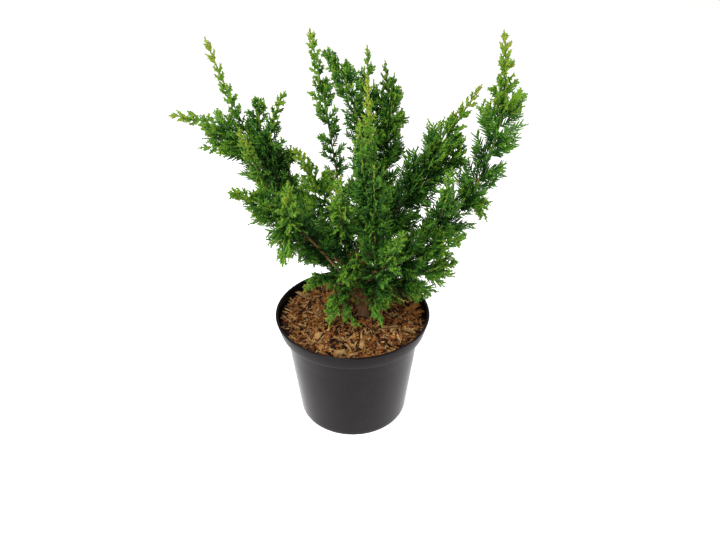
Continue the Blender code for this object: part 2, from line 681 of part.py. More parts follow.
def main():
    for old in list(bpy.data.objects):
        bpy.data.objects.remove(old)
    limbs = grow_limbs()
    make_pot()
    make_mulch()
    make_trunk()
    for name, limb in limbs.items():
        if limb.bare > 0:
            make_bough(name, limb)
    make_foliage(limbs)


if __name__ == "__main__":
    main()
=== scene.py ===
"""Looks of a dwarf hinoki cypress in its round nursery pot, laid out as an add-on and run as a script.

Every shape is a numpy surface or array. The plant follows the growth rule of the part's solids: the same
shoots, the same curves and the same places for their side sprays, carried on here to finer twigs.
"""

import functools
import json
import math
from dataclasses import dataclass

import bpy
import numpy as np
from bpy.props import FloatProperty, FloatVectorProperty, IntProperty, PointerProperty
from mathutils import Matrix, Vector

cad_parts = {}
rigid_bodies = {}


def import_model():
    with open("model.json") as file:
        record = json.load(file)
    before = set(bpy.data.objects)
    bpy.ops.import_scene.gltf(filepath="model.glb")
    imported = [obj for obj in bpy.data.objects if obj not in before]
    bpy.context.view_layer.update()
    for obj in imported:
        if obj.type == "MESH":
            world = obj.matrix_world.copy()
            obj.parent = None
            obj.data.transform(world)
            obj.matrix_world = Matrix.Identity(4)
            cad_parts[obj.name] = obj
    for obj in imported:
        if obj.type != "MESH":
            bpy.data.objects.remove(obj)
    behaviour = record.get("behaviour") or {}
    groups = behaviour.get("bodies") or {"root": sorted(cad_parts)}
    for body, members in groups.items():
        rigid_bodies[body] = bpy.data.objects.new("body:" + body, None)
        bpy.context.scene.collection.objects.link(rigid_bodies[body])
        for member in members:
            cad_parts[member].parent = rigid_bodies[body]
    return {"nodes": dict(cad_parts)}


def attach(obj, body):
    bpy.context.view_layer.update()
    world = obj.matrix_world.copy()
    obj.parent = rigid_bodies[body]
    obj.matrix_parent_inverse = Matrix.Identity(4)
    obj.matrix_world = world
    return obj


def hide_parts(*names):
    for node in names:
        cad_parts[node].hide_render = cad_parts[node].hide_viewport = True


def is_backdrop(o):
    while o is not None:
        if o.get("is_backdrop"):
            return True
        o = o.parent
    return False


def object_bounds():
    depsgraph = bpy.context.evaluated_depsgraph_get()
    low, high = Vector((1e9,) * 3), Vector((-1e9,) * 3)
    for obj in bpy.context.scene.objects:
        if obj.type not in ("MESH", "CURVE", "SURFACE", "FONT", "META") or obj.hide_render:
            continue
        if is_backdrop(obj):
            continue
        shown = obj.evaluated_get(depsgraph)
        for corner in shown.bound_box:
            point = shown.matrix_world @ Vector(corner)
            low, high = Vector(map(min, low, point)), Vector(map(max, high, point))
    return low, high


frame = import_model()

bl_info = {
    "name": "Potted hinoki cypress",
    "version": (1, 0, 0),
    "blender": (4, 5, 0),
    "location": "View3D > Sidebar > Hinoki",
    "description": "Dresses the solids of a potted dwarf hinoki cypress",
    "category": "Object",
}

MM = 0.001
SEED = 17  # each use of chance adds its own number to it

# The same sizes as the solids have.
MULCH_TOP = 123.5 * MM
TRUNK_FOOT = (12 * MM, 0.0)
TRUNK_FORK = (2 * MM, 5 * MM)
TRUNK_HEIGHT = 70 * MM
TRUNK_RADIUS = 4.0 * MM
TRUNK_FORK_RADIUS = 2.6 * MM
FLARE = 3.2 * MM
FLARE_HEIGHT = 7 * MM
CLEAR = 0.3 * MM
BOUGH_RADIUS = 1.9 * MM
STEM_RADIUS = 1.15 * MM
TIP_RADIUS = 0.45 * MM
GOLDEN_ANGLE = 137.5
TURN_SPREAD = 20
SPRAY_STEP = 13.5 * MM
STEP_SPREAD = 0.3
FIRST_SPRAY = 4 * MM
TIP_SPRAY = 10 * MM
SPRAY_GROWTH = 0.62
SIZE_SPREAD = 0.05
SPRAY_BEND = 0.10
LEAN_AT_FOOT = 52
LEAN_AT_TIP = 34
LEAN_STRETCH = 90 * MM
LEAN_SWING = 6
END_SHARE = 0.34
SPUR_STEP = 11 * MM
FIRST_SPUR = 0.9
SPUR_LENGTHS = (6 * MM, 12 * MM)
SPUR_LEAN = 38
SPUR_SEED = 1000

# What the finer growth adds to that rule.
FINE_SEED = 5000
FINE_SPRAY_REACH = 0.8  # a fine spray's greatest length, as a share of its distance from the tip
FINE_SPREAD = 3  # times the solids' spread of lengths
SPUR_REFINE = 6
FINE_SPUR_LEAN = 5  # degrees more than a solid's spur
PAIR_SHIFT = 0.28  # each pair of fine spurs stands this share of a step nearer the tip
SECOND_SHIFT = 0.05  # and the second of a pair this much nearer again
FINE_SPUR_REACH = 0.66  # a fine spur's greatest length, as a share of its distance from the tip
FINE_SPUR_LEAST = 0.5 * MM
LEAFY_BOUGH = 0.4  # the share of a bough that stays bare of fine sprays

# The space round the mulch, the rim and the trunk that foliage keeps out of.
OVER_MULCH = 1.5 * MM
MULCH_REACH = 92 * MM
RIM_TOP = 134 * MM
RIM_INSIDE = 79 * MM
RIM_OUTSIDE = 90 * MM
TRUNK_SPACE = 7 * MM

# Age and tone. Tones are numbered from the darkest, and painted light and shade are in steps of tone.
NEWEST = 12 * MM  # growth this near a leader's tip has age 0
AGEING = 110 * MM  # and age 1 is this much further in
SHADE_AGE = 0.4  # age, as painted shade, for each step that a shoot is dimmed
CROWD_REACH = 32 * MM
CROWD_AGE = 0.8  # the least age where sprays stand thickest, which also darkens them, partly as painted shade
CROWD_SHADE = 1.2  # painted shade, in steps of tone, where sprays stand thickest
OPEN_LIGHT = 0.45  # painted light, in steps of tone, on the sprays most in the open
NEW_TONE = 5.95  # the tone at age 0
TONE_FALL = 4.05  # steps from there to age 1
TONE_CURVE = 0.7
TONE_CAP = 6.2  # the brightest tone at age 0
CAP_FALL = 3.4  # steps from there to age 1

# Side twigs. Lengths without a unit are shares of the spray's length, and angles are in degrees.
TWIG_SEED = 77
TWIGLESS = 7.5 * MM  # a shorter spray carries none
TWIG_FOOT = 1.2 * MM
TWIG_STRETCH = 0.93
TWIG_GAP = 1.45  # times the usual spacing at age 0
GAP_FALL = 0.45  # how much less at age 1
FIRST_TWIG = 0.9  # steps from the spray's root
STEP_SWING = 0.3
TWIG_LENGTH = 0.40
TWIG_RISE = (0.75, 0.8)  # a twig's size at the spray's foot, and its growth from there
TWIG_FALL = (1.15, 0.55)  # the line that its size falls along past a third of the spray
TWIG_SPREAD = (0.78, 1.12)
TWIG_RANGE = (1.9 * MM, 11.5 * MM)
TWIG_ROLL = 24
RAISED_ROLL = 55  # for one twig in six
TWIG_LEAN = 46
TWIG_LEAN_FALL = 12
TWIG_LEAN_SWING = 7
TWIG_YOUTH = 0.35  # the share of its age that a twig loses at the spray's end
TWIG_LIGHT = 2.3  # painted light gained from a spray's foot to its end
TWIG_SHADE = 1.0  # painted shade at its foot, near the stem

# Leaf pairs and the width of twigs.
YOUNG_AGE = 0.25
GROWN_AGE = 0.55
NEAR_AGE = 0.3
YOUNG_PAIRS = (2.2 * MM, 34)  # the pairs' spacing and their lean in degrees
GROWN_PAIRS = (2.7 * MM, 38)
NEAR_LEAN = 28
LEADER_LEAN = 20
FIRST_PAIR = 0.35
LEAF_TURN = 0.35  # radians
LEAF_SWING = 7  # degrees
LEADER_DRAW = 0.3
SPRAY_SHADE_AND_DRAW = (-1.0, 0.5)  # mean: painted shade on a spray's axis under its twigs; spread: tone by chance
TWIG_DRAW = (0.15, 0.8)
SPRAY_WIDTH = 1.15  # times a twig's
NEW_WIDTH = 1.45  # times the usual width at age 0
WIDTH_FALL = 0.7  # how much less at age 1
WIDTH_SPREAD = (0.88, 1.12)
TWIG_DEPTH = 0.62  # a twig's thickness as a share of its width
TWIG_RINGS = ((0.2, 0.95), (0.74, 0.72))  # each ring's place along a twig and its share of the width
LEAF_SPREAD = (0.85, 1.2)  # least and greatest length of a leaf, times the usual one
LEAF_WAIST = 0.38  # where a leaf is widest, as a share of its length
LEAF_DEPTH = 0.42  # its thickness as a share of its width

# Foliage tones, from the shaded old growth inside to the new tips.
TONES = ("shade", "deep", "old", "grown", "young", "fresh", "tip")


@dataclass
class Shoot:
    """One leader, as in the part's solids.

    bright is painted light: it moves its tones up by that many steps. Below 0 it is painted shade: it ages
    its sprays, and moves the leaves on its own stem down.
    """

    name: str
    parent: str
    at: float
    tip: tuple
    out: float
    up: float
    bare: float
    width: float
    flat: float
    end: float = 46.0
    bend: tuple = (0, 0)
    bright: float = 0.0


SHOOTS = [
    Shoot("left_high", "trunk", 0.76, (-134, 30, 414), 0.58, 0.26, 0.2, 36, 10, end=66,
          bend=(-4, -1), bright=0.5),
    Shoot("left_high_inner", "left_high", 0.45, (-59, -5, 375), 0.25, 0.5, 0, 25, 20,
          bend=(-29, 3), bright=0.2),
    Shoot("left_high_middle", "left_high", 0.62, (-87, 12, 363), -0.15, 0.79, 0, 21, 70, bright=0.5),
    Shoot("left_high_spur", "left_high", 0.42, (-58, -6, 319), -0.26, 0.85, 0, 14, 0),
    Shoot("left_side", "left_high", 0.55, (-176, 25, 342), 0.4, 0.82, 0.12, 32, 0, end=36,
          bend=(1, 13), bright=0.4),
    Shoot("left_side_low", "left_side", 0.30, (-147, 2, 318), 0.42, 0.52, 0, 25, 20, end=30, bend=(6, 3)),
    Shoot("left_side_front", "left_high", 0.46, (-99, -32, 350), 0.67, 0.32, 0, 16, 30),
    Shoot("left_low", "trunk", 0.52, (-107, -60, 299), 0.67, 0.93, 0.34, 33, 0, end=62),
    Shoot("left_low_upper", "left_low", 0.50, (-54, -74, 317), 1.25, 0.3, 0, 20, 10, bright=-0.3),
    Shoot("left_low_under", "left_low", 0.47, (-67, -50, 217), 0.93, 0.49, 0, 28, 0, end=6, bright=-0.8),
    Shoot("left_low_inner", "left_low", 0.36, (-53, -34, 212), 0.6, 0.3, 0, 24, 20, end=6, bright=-0.8),
    Shoot("left_low_back", "left_low", 0.30, (-39, -20, 197), 0.6, 0.44, 0, 24, 40, end=6, bright=-1.0),
    Shoot("front_left", "trunk", 0.74, (-50, -45, 336), 0.4, 0.61, 0.18, 28, 10, end=36),
    Shoot("front_tuft", "front_left", 0.30, (-8, -82, 325), 0.75, 0.45, 0.1, 21, 15, bright=0.3),
    Shoot("upright_left", "trunk", 0.90, (-39, 50, 417), 0.19, 0.47, 0.18, 19, 60, bend=(-10, 11),
          bright=0.8),
    Shoot("upright_back", "trunk", 1.00, (32, 42, 390), 1.61, 0.28, 0.14, 26, 15, end=18, bright=0.4),
    Shoot("upright_back_top", "upright_back", 0.40, (15, 38, 405), 0.79, 0.24, 0, 25, 30, end=14,
          bright=0.7),
    Shoot("upright_back_side", "upright_back", 0.52, (41, 36, 380), 0.45, 0.4, 0, 20, 50, end=10,
          bright=0.3),
    Shoot("upright_arch", "upright_back", 0.16, (-26, 34, 400), 0.08, 0.91, 0, 21, 80, end=40, bright=0.5),
    Shoot("right_front", "trunk", 0.55, (47, -78, 271), 0.74, 0.48, 0.2, 26, 20, bright=-0.5),
    Shoot("upright_front", "right_front", 0.36, (14, -62, 404), 0.41, 0.28, 0.14, 27, 30, end=64,
          bright=0.8),
    Shoot("upright_front_low", "upright_front", 0.46, (8, -72, 370), 0.91, 0.42, 0, 20, 60, bright=0.4),
    Shoot("upright_front_small", "upright_front", 0.32, (20, -78, 333), 0.56, 0.47, 0, 19, 60, bright=0.2),
    Shoot("right_inner", "trunk", 0.86, (123, 25, 372), 0.45, 0.42, 0.16, 36, 0, end=34),
    Shoot("right_inner_side", "right_inner", 0.40, (80, 20, 317), 1.06, 0.37, 0, 17, 0, bright=-0.3),
    Shoot("right_inner_low", "right_inner", 0.48, (109, 6, 328), 0.7, 0.35, 0, 22, 40, end=10, bright=-0.8),
    Shoot("right_outer", "trunk", 0.66, (131, -10, 428), 1.28, 0.35, 0.24, 31, 0, end=38, bright=0.4),
    Shoot("right_outer_under", "right_outer", 0.42, (133, -22, 251), 0.61, 0.26, 0, 28, 0, end=6,
          bend=(-6, 27), bright=-0.8),
    Shoot("right_outer_front", "right_outer", 0.28, (88, -62, 324), 0.73, 0.42, 0.12, 30, 30, bright=-0.9),
    Shoot("right_middle", "trunk", 0.60, (109, -48, 252), 0.58, 0.64, 0.2, 32, 0, end=18, bright=-0.7),
    Shoot("right_low", "trunk", 0.34, (104, -45, 219), 0.54, 0.56, 0.22, 30, 0, end=12, bright=-0.8),
    Shoot("right_low_under", "right_low", 0.40, (92, -12, 162), 0.45, 0.51, 0, 24, 0, end=6,
          bend=(-7, -4), bright=-0.8),
    Shoot("front_low_left", "trunk", 0.26, (-24, -48, 142), 0.41, 0.6, 0.22, 17, 0, end=18,
          bend=(-8, 50), bright=0.5),
    Shoot("front_low_dark", "front_low_left", 0.30, (9, -36, 134), 0.46, 0.5, 0, 13, 0,
          bend=(-18, -2), bright=-0.6),
    Shoot("front_low_right", "trunk", 0.28, (31, -50, 144), 0.35, 0.6, 0.22, 19, 0, end=8,
          bend=(6, 31), bright=-0.6),
    Shoot("front_low_edge", "trunk", 0.38, (53, -40, 169), 0.28, 0.68, 0.26, 21, 0, end=8,
          bend=(-11, 19), bright=0.1),
    Shoot("front_middle", "trunk", 0.62, (-3, -58, 201), 0.56, 0.74, 0.22, 25, 0, end=18,
          bend=(-6, 22), bright=0.3),
    Shoot("front_middle_top", "front_middle", 0.30, (5, -48, 229), 0.82, 0.32, 0, 14, 0, bright=0.3),
    Shoot("low_left", "trunk", 0.42, (-51, -18, 166), 0.44, 0.69, 0.24, 20, 0, end=18,
          bend=(-4, 36), bright=-0.1),
    Shoot("low_left_front", "low_left", 0.40, (-19, -30, 174), 0.5, 0.5, 0, 14, 0, bend=(1, 0), bright=0.5),
    Shoot("back_left", "trunk", 0.66, (-106, 96, 283), 0.6, 0.45, 0.2, 32, 0),
    Shoot("back_middle", "trunk", 0.82, (14, 112, 292), 0.7, 0.45, 0.2, 30, 0),
    Shoot("back_right", "trunk", 0.76, (88, 92, 290), 0.62, 0.45, 0.2, 32, 0),
    Shoot("back_low_left", "trunk", 0.50, (-60, 82, 200), 0.55, 0.6, 0.22, 28, 0),
    Shoot("back_low_middle", "trunk", 0.42, (12, 92, 178), 0.55, 0.75, 0.24, 26, 0),
    Shoot("back_low_right", "trunk", 0.56, (80, 60, 200), 0.55, 0.6, 0.22, 28, 0),
]


# Settings


def size(name, text, default, least=0.0):
    """A length in metres, shown in the scene's units."""
    return FloatProperty(name=name, description=text, default=default, min=least, unit="LENGTH", precision=5)


def amount(name, text, default):
    """A plain number from 0 up."""
    return FloatProperty(name=name, description=text, default=default, min=0)


def colour(name, text, default):
    """A linear colour."""
    return FloatVectorProperty(
        name=name, description=text, default=default, subtype="COLOR", size=3, min=0, max=1)


class FoliageSettings(bpy.types.PropertyGroup):
    """Sizes and colours of the green shoots."""

    refine: IntProperty(
        name="Sprays per step", description="Side sprays for each one that the solids have", default=8, min=1)
    twig_step: size("Twig spacing", "Distance along an old spray from one side twig to the next", 1.25 * MM)
    twig_width: size("Twig width", "Width of a side twig with its scale leaves", 1.75 * MM)
    node_step: size("Leaf spacing", "Distance along a twig from one pair of leaves to the next", 1.8 * MM)
    leaf_length: size("Leaf", "Length of a scale leaf", 3.0 * MM)
    leaf_width: size("Leaf width", "Width of a scale leaf", 1.5 * MM)
    # The tones are dealt out by age and by painted light and shade: crowded, inner and low sprays take the
    # darker tones as painted shade, and open outer ends the brighter ones as painted light.
    shade: colour("Shade", "Old growth at the heart of the plant", (0.003, 0.012, 0.0025))
    deep: colour("Deep", "Old growth inside the plant", (0.007, 0.028, 0.005))
    old: colour("Old", "Grown needles in the open", (0.015, 0.060, 0.009))
    grown: colour("Grown", "This year's grown sprays", (0.034, 0.114, 0.012))
    young: colour("Young", "Sprays near the leaders' ends", (0.066, 0.175, 0.011))
    fresh: colour("Fresh", "Young sprays", (0.112, 0.228, 0.012))
    tip: colour("Tip", "New growth at the leaders' ends", (0.186, 0.236, 0.014))
    stem: colour("Young stem", "Green stems of the young shoots", (0.105, 0.150, 0.014))


class WoodSettings(bpy.types.PropertyGroup):
    """Sizes and colours of the bark."""

    relief: size("Bark relief", "Depth of the bark's strips on the trunk", 0.45 * MM)
    bark: colour("Bark", "Ridges of the trunk's bark", (0.130, 0.070, 0.030))
    furrow: colour("Furrow", "Between the strips of bark", (0.026, 0.011, 0.005))
    twig: colour("Twig bark", "Smooth bark of the boughs", (0.21, 0.120, 0.040))
    woody: colour("Woody stem", "Stems inside the foliage", (0.075, 0.060, 0.016))
    golden: colour("Golden stem", "Last year's smooth stems", (0.36, 0.25, 0.050))


class PotSettings(bpy.types.PropertyGroup):
    """Sizes and colours of the pot and its mulch."""

    rim: size("Rim radius", "Outer radius of the rim", 85 * MM)
    height: size("Height", "Height of the pot", 130 * MM)
    collar: size("Collar", "Depth of the collar under the rim", 17 * MM)
    collar_foot: size("Collar foot", "Outer radius at the collar's lower edge", 81.2 * MM)
    shoulder: size("Shoulder", "Outer radius just under the collar", 75 * MM)
    base: size("Base", "Outer radius at the foot", 62 * MM)
    lip: size("Lip width", "Width of the rim's flat top", 2.8 * MM)
    plastic: colour("Plastic", "The pot's black", (0.0062, 0.0046, 0.0050))
    chips: IntProperty(name="Chips", description="Pieces of bark on the mulch", default=1700, min=0)
    fibres: IntProperty(name="Fibres", description="Thin strips among the chips", default=1400, min=0)
    tan: colour("Tan chip", "Fresh inner bark", (0.255, 0.150, 0.058))
    rust: colour("Rust chip", "Weathered orange bark", (0.190, 0.075, 0.016))
    red: colour("Red chip", "Outer red brown bark", (0.105, 0.030, 0.009))
    dark: colour("Dark chip", "Wet dark bark", (0.020, 0.008, 0.004))
    # The bed's near-black is the fine mulch's own colour and partly painted shade for the gaps between the
    # chips.
    peat: colour("Peat", "Fine dark mulch between the chips", (0.009, 0.0045, 0.0025))


class StageSettings(bpy.types.PropertyGroup):
    """The pale floor, the lights and the camera."""

    floor: colour("Floor", "The floor and backdrop", (0.92, 0.91, 0.905))
    key: amount("Key", "Watts of the large light above the front", 26)
    side: amount("Sides", "Watts of each light beside the plant", 11)
    sky: amount("Sky", "Strength of the even light from all round", 0.55)
    glow: amount("Floor glow", "Light that the floor gives by itself", 0.45)
    lens: amount("Lens", "Focal length in mm", 32.5)
    pitch: FloatProperty(
        name="Pitch", description="How far down the camera looks", default=math.radians(31.95),
        subtype="ANGLE")
    place: FloatVectorProperty(
        name="Camera", description="Where the camera stands", default=(0.0082, -0.5877, 0.5483),
        subtype="TRANSLATION", unit="LENGTH")


# Shader expressions


class Value:
    """A socket that can be used in an expression: each operator adds the Math node for it."""

    def __init__(self, shader, socket):
        self.shader, self.socket = shader, socket

    def _math(self, operation, *others):
        return self.shader.node("ShaderNodeMath", {"operation": operation}, *others)

    def __add__(self, other):
        return self._math("ADD", self, other)

    def __rsub__(self, other):
        return self._math("SUBTRACT", other, self)

    def __mul__(self, other):
        return self._math("MULTIPLY", self, other)

    def between(self, low, high):
        """0 below low, 1 above high, and a straight line from one to the other."""
        return self.shader.node("ShaderNodeMapRange", {"clamp": True}, self, low, high)


class Shader:
    """One material, built from expressions on its Principled node."""

    def __init__(self, name, base, **uniform):
        self.material = bpy.data.materials.new(name)
        self.material.use_nodes = True
        self.tree = self.material.node_tree
        self.surface = self.tree.nodes["Principled BSDF"]
        self.surface.inputs["Base Color"].default_value = (*base, 1)
        for socket, value in uniform.items():
            self.surface.inputs[socket.replace("_", " ")].default_value = value

    def node(self, kind, settings=None, *values, output=0, **named):
        """Adds a node: its settings first, then the values or links of its sockets by place or by name."""
        made = self.tree.nodes.new(kind)
        for key, value in (settings or {}).items():
            setattr(made, key, value)
        for place, value in [*enumerate(values), *named.items()]:
            self.put(made.inputs[place], value)
        return Value(self, made.outputs[output])

    def put(self, socket, value):
        """Links a Value, or sets a number, colour or vector."""
        if isinstance(value, Value):
            self.tree.links.new(value.socket, socket)
        elif hasattr(value, "__len__") and socket.type == "RGBA":
            socket.default_value = (*value, 1)
        else:
            socket.default_value = value

    def set(self, name, value):
        self.put(self.surface.inputs[name], value)

    def place(self, uv=False):
        """Object coordinates, or the piece's own UV map."""
        return self.node("ShaderNodeTexCoord", None, output=2 if uv else 3)

    def scaled(self, vector, scale):
        """A vector, each part of it multiplied by its own number."""
        return self.node("ShaderNodeVectorMath", {"operation": "MULTIPLY"}, vector, scale)

    def noise(self, vector, scale, detail=3.0, rough=0.55):
        return self.node(
            "ShaderNodeTexNoise", None, Vector=vector, Scale=scale, Detail=detail, Roughness=rough)

    def mix(self, share, low, high):
        """The colour low where share is 0 and high where it is 1."""
        made = self.tree.nodes.new("ShaderNodeMix")
        made.data_type = "RGBA"
        self.put(made.inputs[0], share)
        self.put(made.inputs[6], low)
        self.put(made.inputs[7], high)
        return Value(self, made.outputs[2])

    def bump(self, height, depth, strength=1.0):
        """Tilts the surface as a relief of this height, in metres."""
        relief = self.node("ShaderNodeBump", None, Height=height, Distance=depth, Strength=strength)
        self.set("Normal", relief)


# Meshes from arrays


def unit(vectors):
    """The vectors at length 1."""
    return vectors / np.maximum(np.linalg.norm(vectors, axis=-1, keepdims=True), 1e-12)


def piece(name, points, faces, material, slot, smooth=True, uv=None, replaces=()):
    """A shown piece from arrays of points (n, 3) and triangles (m, 3). uv gives each point's place on it."""
    mesh = bpy.data.meshes.new(name)
    points = np.asarray(points, np.float32).reshape(-1, 3)
    faces = np.asarray(faces, np.int32).reshape(-1, 3)
    mesh.vertices.add(len(points))
    mesh.vertices.foreach_set("co", points.ravel())
    mesh.loops.add(faces.size)
    mesh.loops.foreach_set("vertex_index", faces.ravel())
    mesh.polygons.add(len(faces))
    mesh.polygons.foreach_set("loop_start", np.arange(0, faces.size, 3, dtype=np.int32))
    mesh.polygons.foreach_set("use_smooth", np.full(len(faces), smooth))
    if uv is not None:
        layer = mesh.uv_layers.new(name="along")
        layer.data.foreach_set("uv", np.asarray(uv, np.float32)[faces.ravel()].ravel())
    mesh.update()
    mesh.validate()
    made = bpy.data.objects.new(name, mesh)
    bpy.context.scene.collection.objects.link(made)
    mesh.materials.append(material)
    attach(made, "root")
    if replaces:
        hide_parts(*replaces)
    return made


def joined(parts):
    """One array of points and one of faces from many pairs of them."""
    starts = np.cumsum([0] + [len(points) for points, _ in parts])
    faces = [faces + start for (_, faces), start in zip(parts, starts)]
    return np.concatenate([points for points, _ in parts]), np.concatenate(faces)


def closed_faces(rings, sides):
    """Triangles of a closed tube. Point k of ring r is number r * sides + k, and the ends' points come last.

    Each square between two rings is cut in two, and a fan closes each end, the foot's first.
    """
    r, k = np.meshgrid(np.arange(rings - 1), np.arange(sides), indexing="ij")
    low, high = r * sides + k, r * sides + (k + 1) % sides
    quads = np.stack([low, high, high + sides, low, high + sides, low + sides], -1).reshape(-1, 3)
    k, n, last = np.arange(sides), (np.arange(sides) + 1) % sides, (rings - 1) * sides
    foot, tip = np.full(sides, rings * sides), np.full(sides, rings * sides + 1)
    return np.concatenate([quads, np.stack([foot, n, k], -1), np.stack([last + k, last + n, tip], -1)])


def tubes(centres, radii, sides, across):
    """Closed round limbs, many at once, each the circle of its radius carried along its centre line.

    centres is (n, rings, 3), radii (n, rings) and across (n, 3), a direction that no limb runs along. A point
    is its ring's centre + radius * (cos a * across + sin a * up). The foot closes on its ring's centre, and
    the tip on a point 1.5 radii past its last ring.
    """
    count, rings = radii.shape
    along = unit(np.gradient(centres, axis=1))
    across = across[:, None] - along * np.sum(across[:, None] * along, axis=2, keepdims=True)
    across = unit(across)
    up = np.cross(along, across)
    angle = 2 * np.pi * np.arange(sides) / sides
    ring = (np.cos(angle)[:, None] * across[:, :, None] + np.sin(angle)[:, None] * up[:, :, None])
    body = centres[:, :, None] + radii[:, :, None, None] * ring
    foot, tip = centres[:, 0], centres[:, -1] + along[:, -1] * radii[:, -1:] * 1.5
    points = np.concatenate([body.reshape(count, -1, 3), foot[:, None], tip[:, None]], axis=1)
    start = np.arange(count)[:, None, None] * points.shape[1]
    return points.reshape(-1, 3), (closed_faces(rings, sides)[None] + start).reshape(-1, 3)


def lathe(profile, segments, foot, top):
    """A closed surface of revolution about +Z.

    The profile's points are (radius, height), from the underside outwards, up and back inside. Its first ring
    closes on the axis at the height foot, and its last one at the height top.
    """
    profile = np.asarray(profile, float)
    angle = 2 * np.pi * np.arange(segments) / segments
    rings = np.stack([
        profile[:, :1] * np.cos(angle), profile[:, :1] * np.sin(angle),
        np.repeat(profile[:, 1:], segments, axis=1)], -1)
    points = np.concatenate([rings.reshape(-1, 3), [[0, 0, foot], [0, 0, top]]])
    return points, closed_faces(len(profile), segments)


def turned(points, angle, first, second):
    """Points (n, m, 3), each row of them turned by its own angle from one axis towards another."""
    c, n = np.cos(angle)[:, None], np.sin(angle)[:, None]
    made = points.copy()
    made[..., first] = c * points[..., first] - n * points[..., second]
    made[..., second] = n * points[..., first] + c * points[..., second]
    return made


def waves(u, v, seed, count=24, lowest=2, highest=17, stretch=1.0):
    """A field between about -1 and 1 that repeats when u passes 2 pi: a sum of seeded waves in u and v."""
    rng = np.random.default_rng(seed)
    total, weight = np.zeros(np.broadcast(u, v).shape), 0.0
    for _ in range(count):
        turns = rng.integers(lowest, highest)
        share = 1 / math.sqrt(turns)
        slant = rng.uniform(-1, 1) * turns * v / stretch
        total = total + share * np.sin(turns * u + slant + rng.uniform(0, 6.3))
        weight += share**2 / 2
    return total / math.sqrt(weight) / 2


# The plant's curves


def trunk_axis(t):
    """Points on the trunk's centre line at shares t of its height, with a slight bow."""
    t = np.asarray(t, float)[..., None]
    foot = np.array([*TRUNK_FOOT, MULCH_TOP + CLEAR])
    fork = np.array([*TRUNK_FORK, MULCH_TOP + CLEAR + TRUNK_HEIGHT])
    bow = np.array([-1.0 * MM, 0.6 * MM, 0.0])
    return foot + (fork - foot) * t + bow * np.sin(np.pi * t)


def trunk_radius(t):
    """The trunk's radius: an even taper, and a flare that dies away upwards."""
    t = np.asarray(t, float)
    taper = TRUNK_RADIUS + (TRUNK_FORK_RADIUS - TRUNK_RADIUS) * t
    return taper + FLARE * np.exp(-t * TRUNK_HEIGHT / FLARE_HEIGHT)


def limb_radius(t, bare):
    """A shoot's radius: bough thickness where it leaves, fine at its tip."""
    t = np.asarray(t, float)
    foot = BOUGH_RADIUS if bare > 0 else STEM_RADIUS
    inner = foot + (STEM_RADIUS - foot) * t / max(bare, 1e-6)
    outer = STEM_RADIUS + (TIP_RADIUS - STEM_RADIUS) * (t - bare) / (1 - bare)
    return np.where(t < bare, inner, outer)


class Limb:
    """The curve of one shoot: a quadratic curve from where it leaves its parent to its tip."""

    def __init__(self, shoot, limbs):
        self.shoot, self.bare = shoot, shoot.bare
        tip = np.array(shoot.tip, float) * MM
        if shoot.parent == "trunk":
            axis, radius = trunk_axis(shoot.at), float(trunk_radius(shoot.at))
            along = unit(trunk_axis(1.0) - trunk_axis(0.0))
        else:
            parent = limbs[shoot.parent]
            axis, radius = parent.point(shoot.at), float(parent.radius(shoot.at))
            along = parent.direction(shoot.at)
        self.axis = axis
        side = tip - axis
        middle = np.array([shoot.out, shoot.out, shoot.up]) * side
        middle = middle + np.array([shoot.bend[0], 0, shoot.bend[1]]) * MM
        start, away = axis, unit(middle)
        if shoot.bare > 0 and shoot.at < 1:
            outward = unit(middle - along * (middle @ along))
            slope = math.sqrt(max(0.0, 1 - (away @ outward) ** 2))
            start = axis + outward * (radius + CLEAR + BOUGH_RADIUS * slope)
        elif shoot.bare > 0:
            slope = math.sqrt(max(0.0, 1 - (away @ along) ** 2))
            start = axis + along * (CLEAR + BOUGH_RADIUS * slope)
        self.ends = start, axis + middle, tip
        steps = self.point(np.linspace(0, 1, 60))
        self.length = float(np.linalg.norm(np.diff(steps, axis=0), axis=1).sum())

    def point(self, t):
        """Points on the curve at t from 0 to 1."""
        t = np.asarray(t, float)[..., None]
        start, middle, tip = self.ends
        return (1 - t) ** 2 * start + 2 * t * (1 - t) * middle + t**2 * tip

    def direction(self, t):
        """Unit vectors along the curve at t."""
        t = np.asarray(t, float)[..., None]
        start, middle, tip = self.ends
        return unit(2 * (1 - t) * (middle - start) + 2 * t * (tip - middle))

    def radius(self, t):
        return limb_radius(t, self.bare)

    def frame(self, t, turn):
        """Unit vectors square to the curve, turned about it by degrees: 0 points sideways, 90 up."""
        along, turn = self.direction(t), np.radians(turn)[..., None]
        level = unit(np.cross(along, [0.0, 0.0, 1.0]) + 1e-9)
        return np.cos(turn) * level + np.sin(turn) * np.cross(level, along)


@functools.lru_cache(maxsize=None)
def all_limbs():
    """Every shoot's curve, by name."""
    limbs = {}
    for shoot in SHOOTS:
        limbs[shoot.name] = Limb(shoot, limbs)
    return limbs


def leader_end(limb):
    """The length of a shoot's last stretch, which carries short spurs."""
    return min(limb.shoot.end * MM, END_SHARE * (1 - limb.bare) * limb.length)


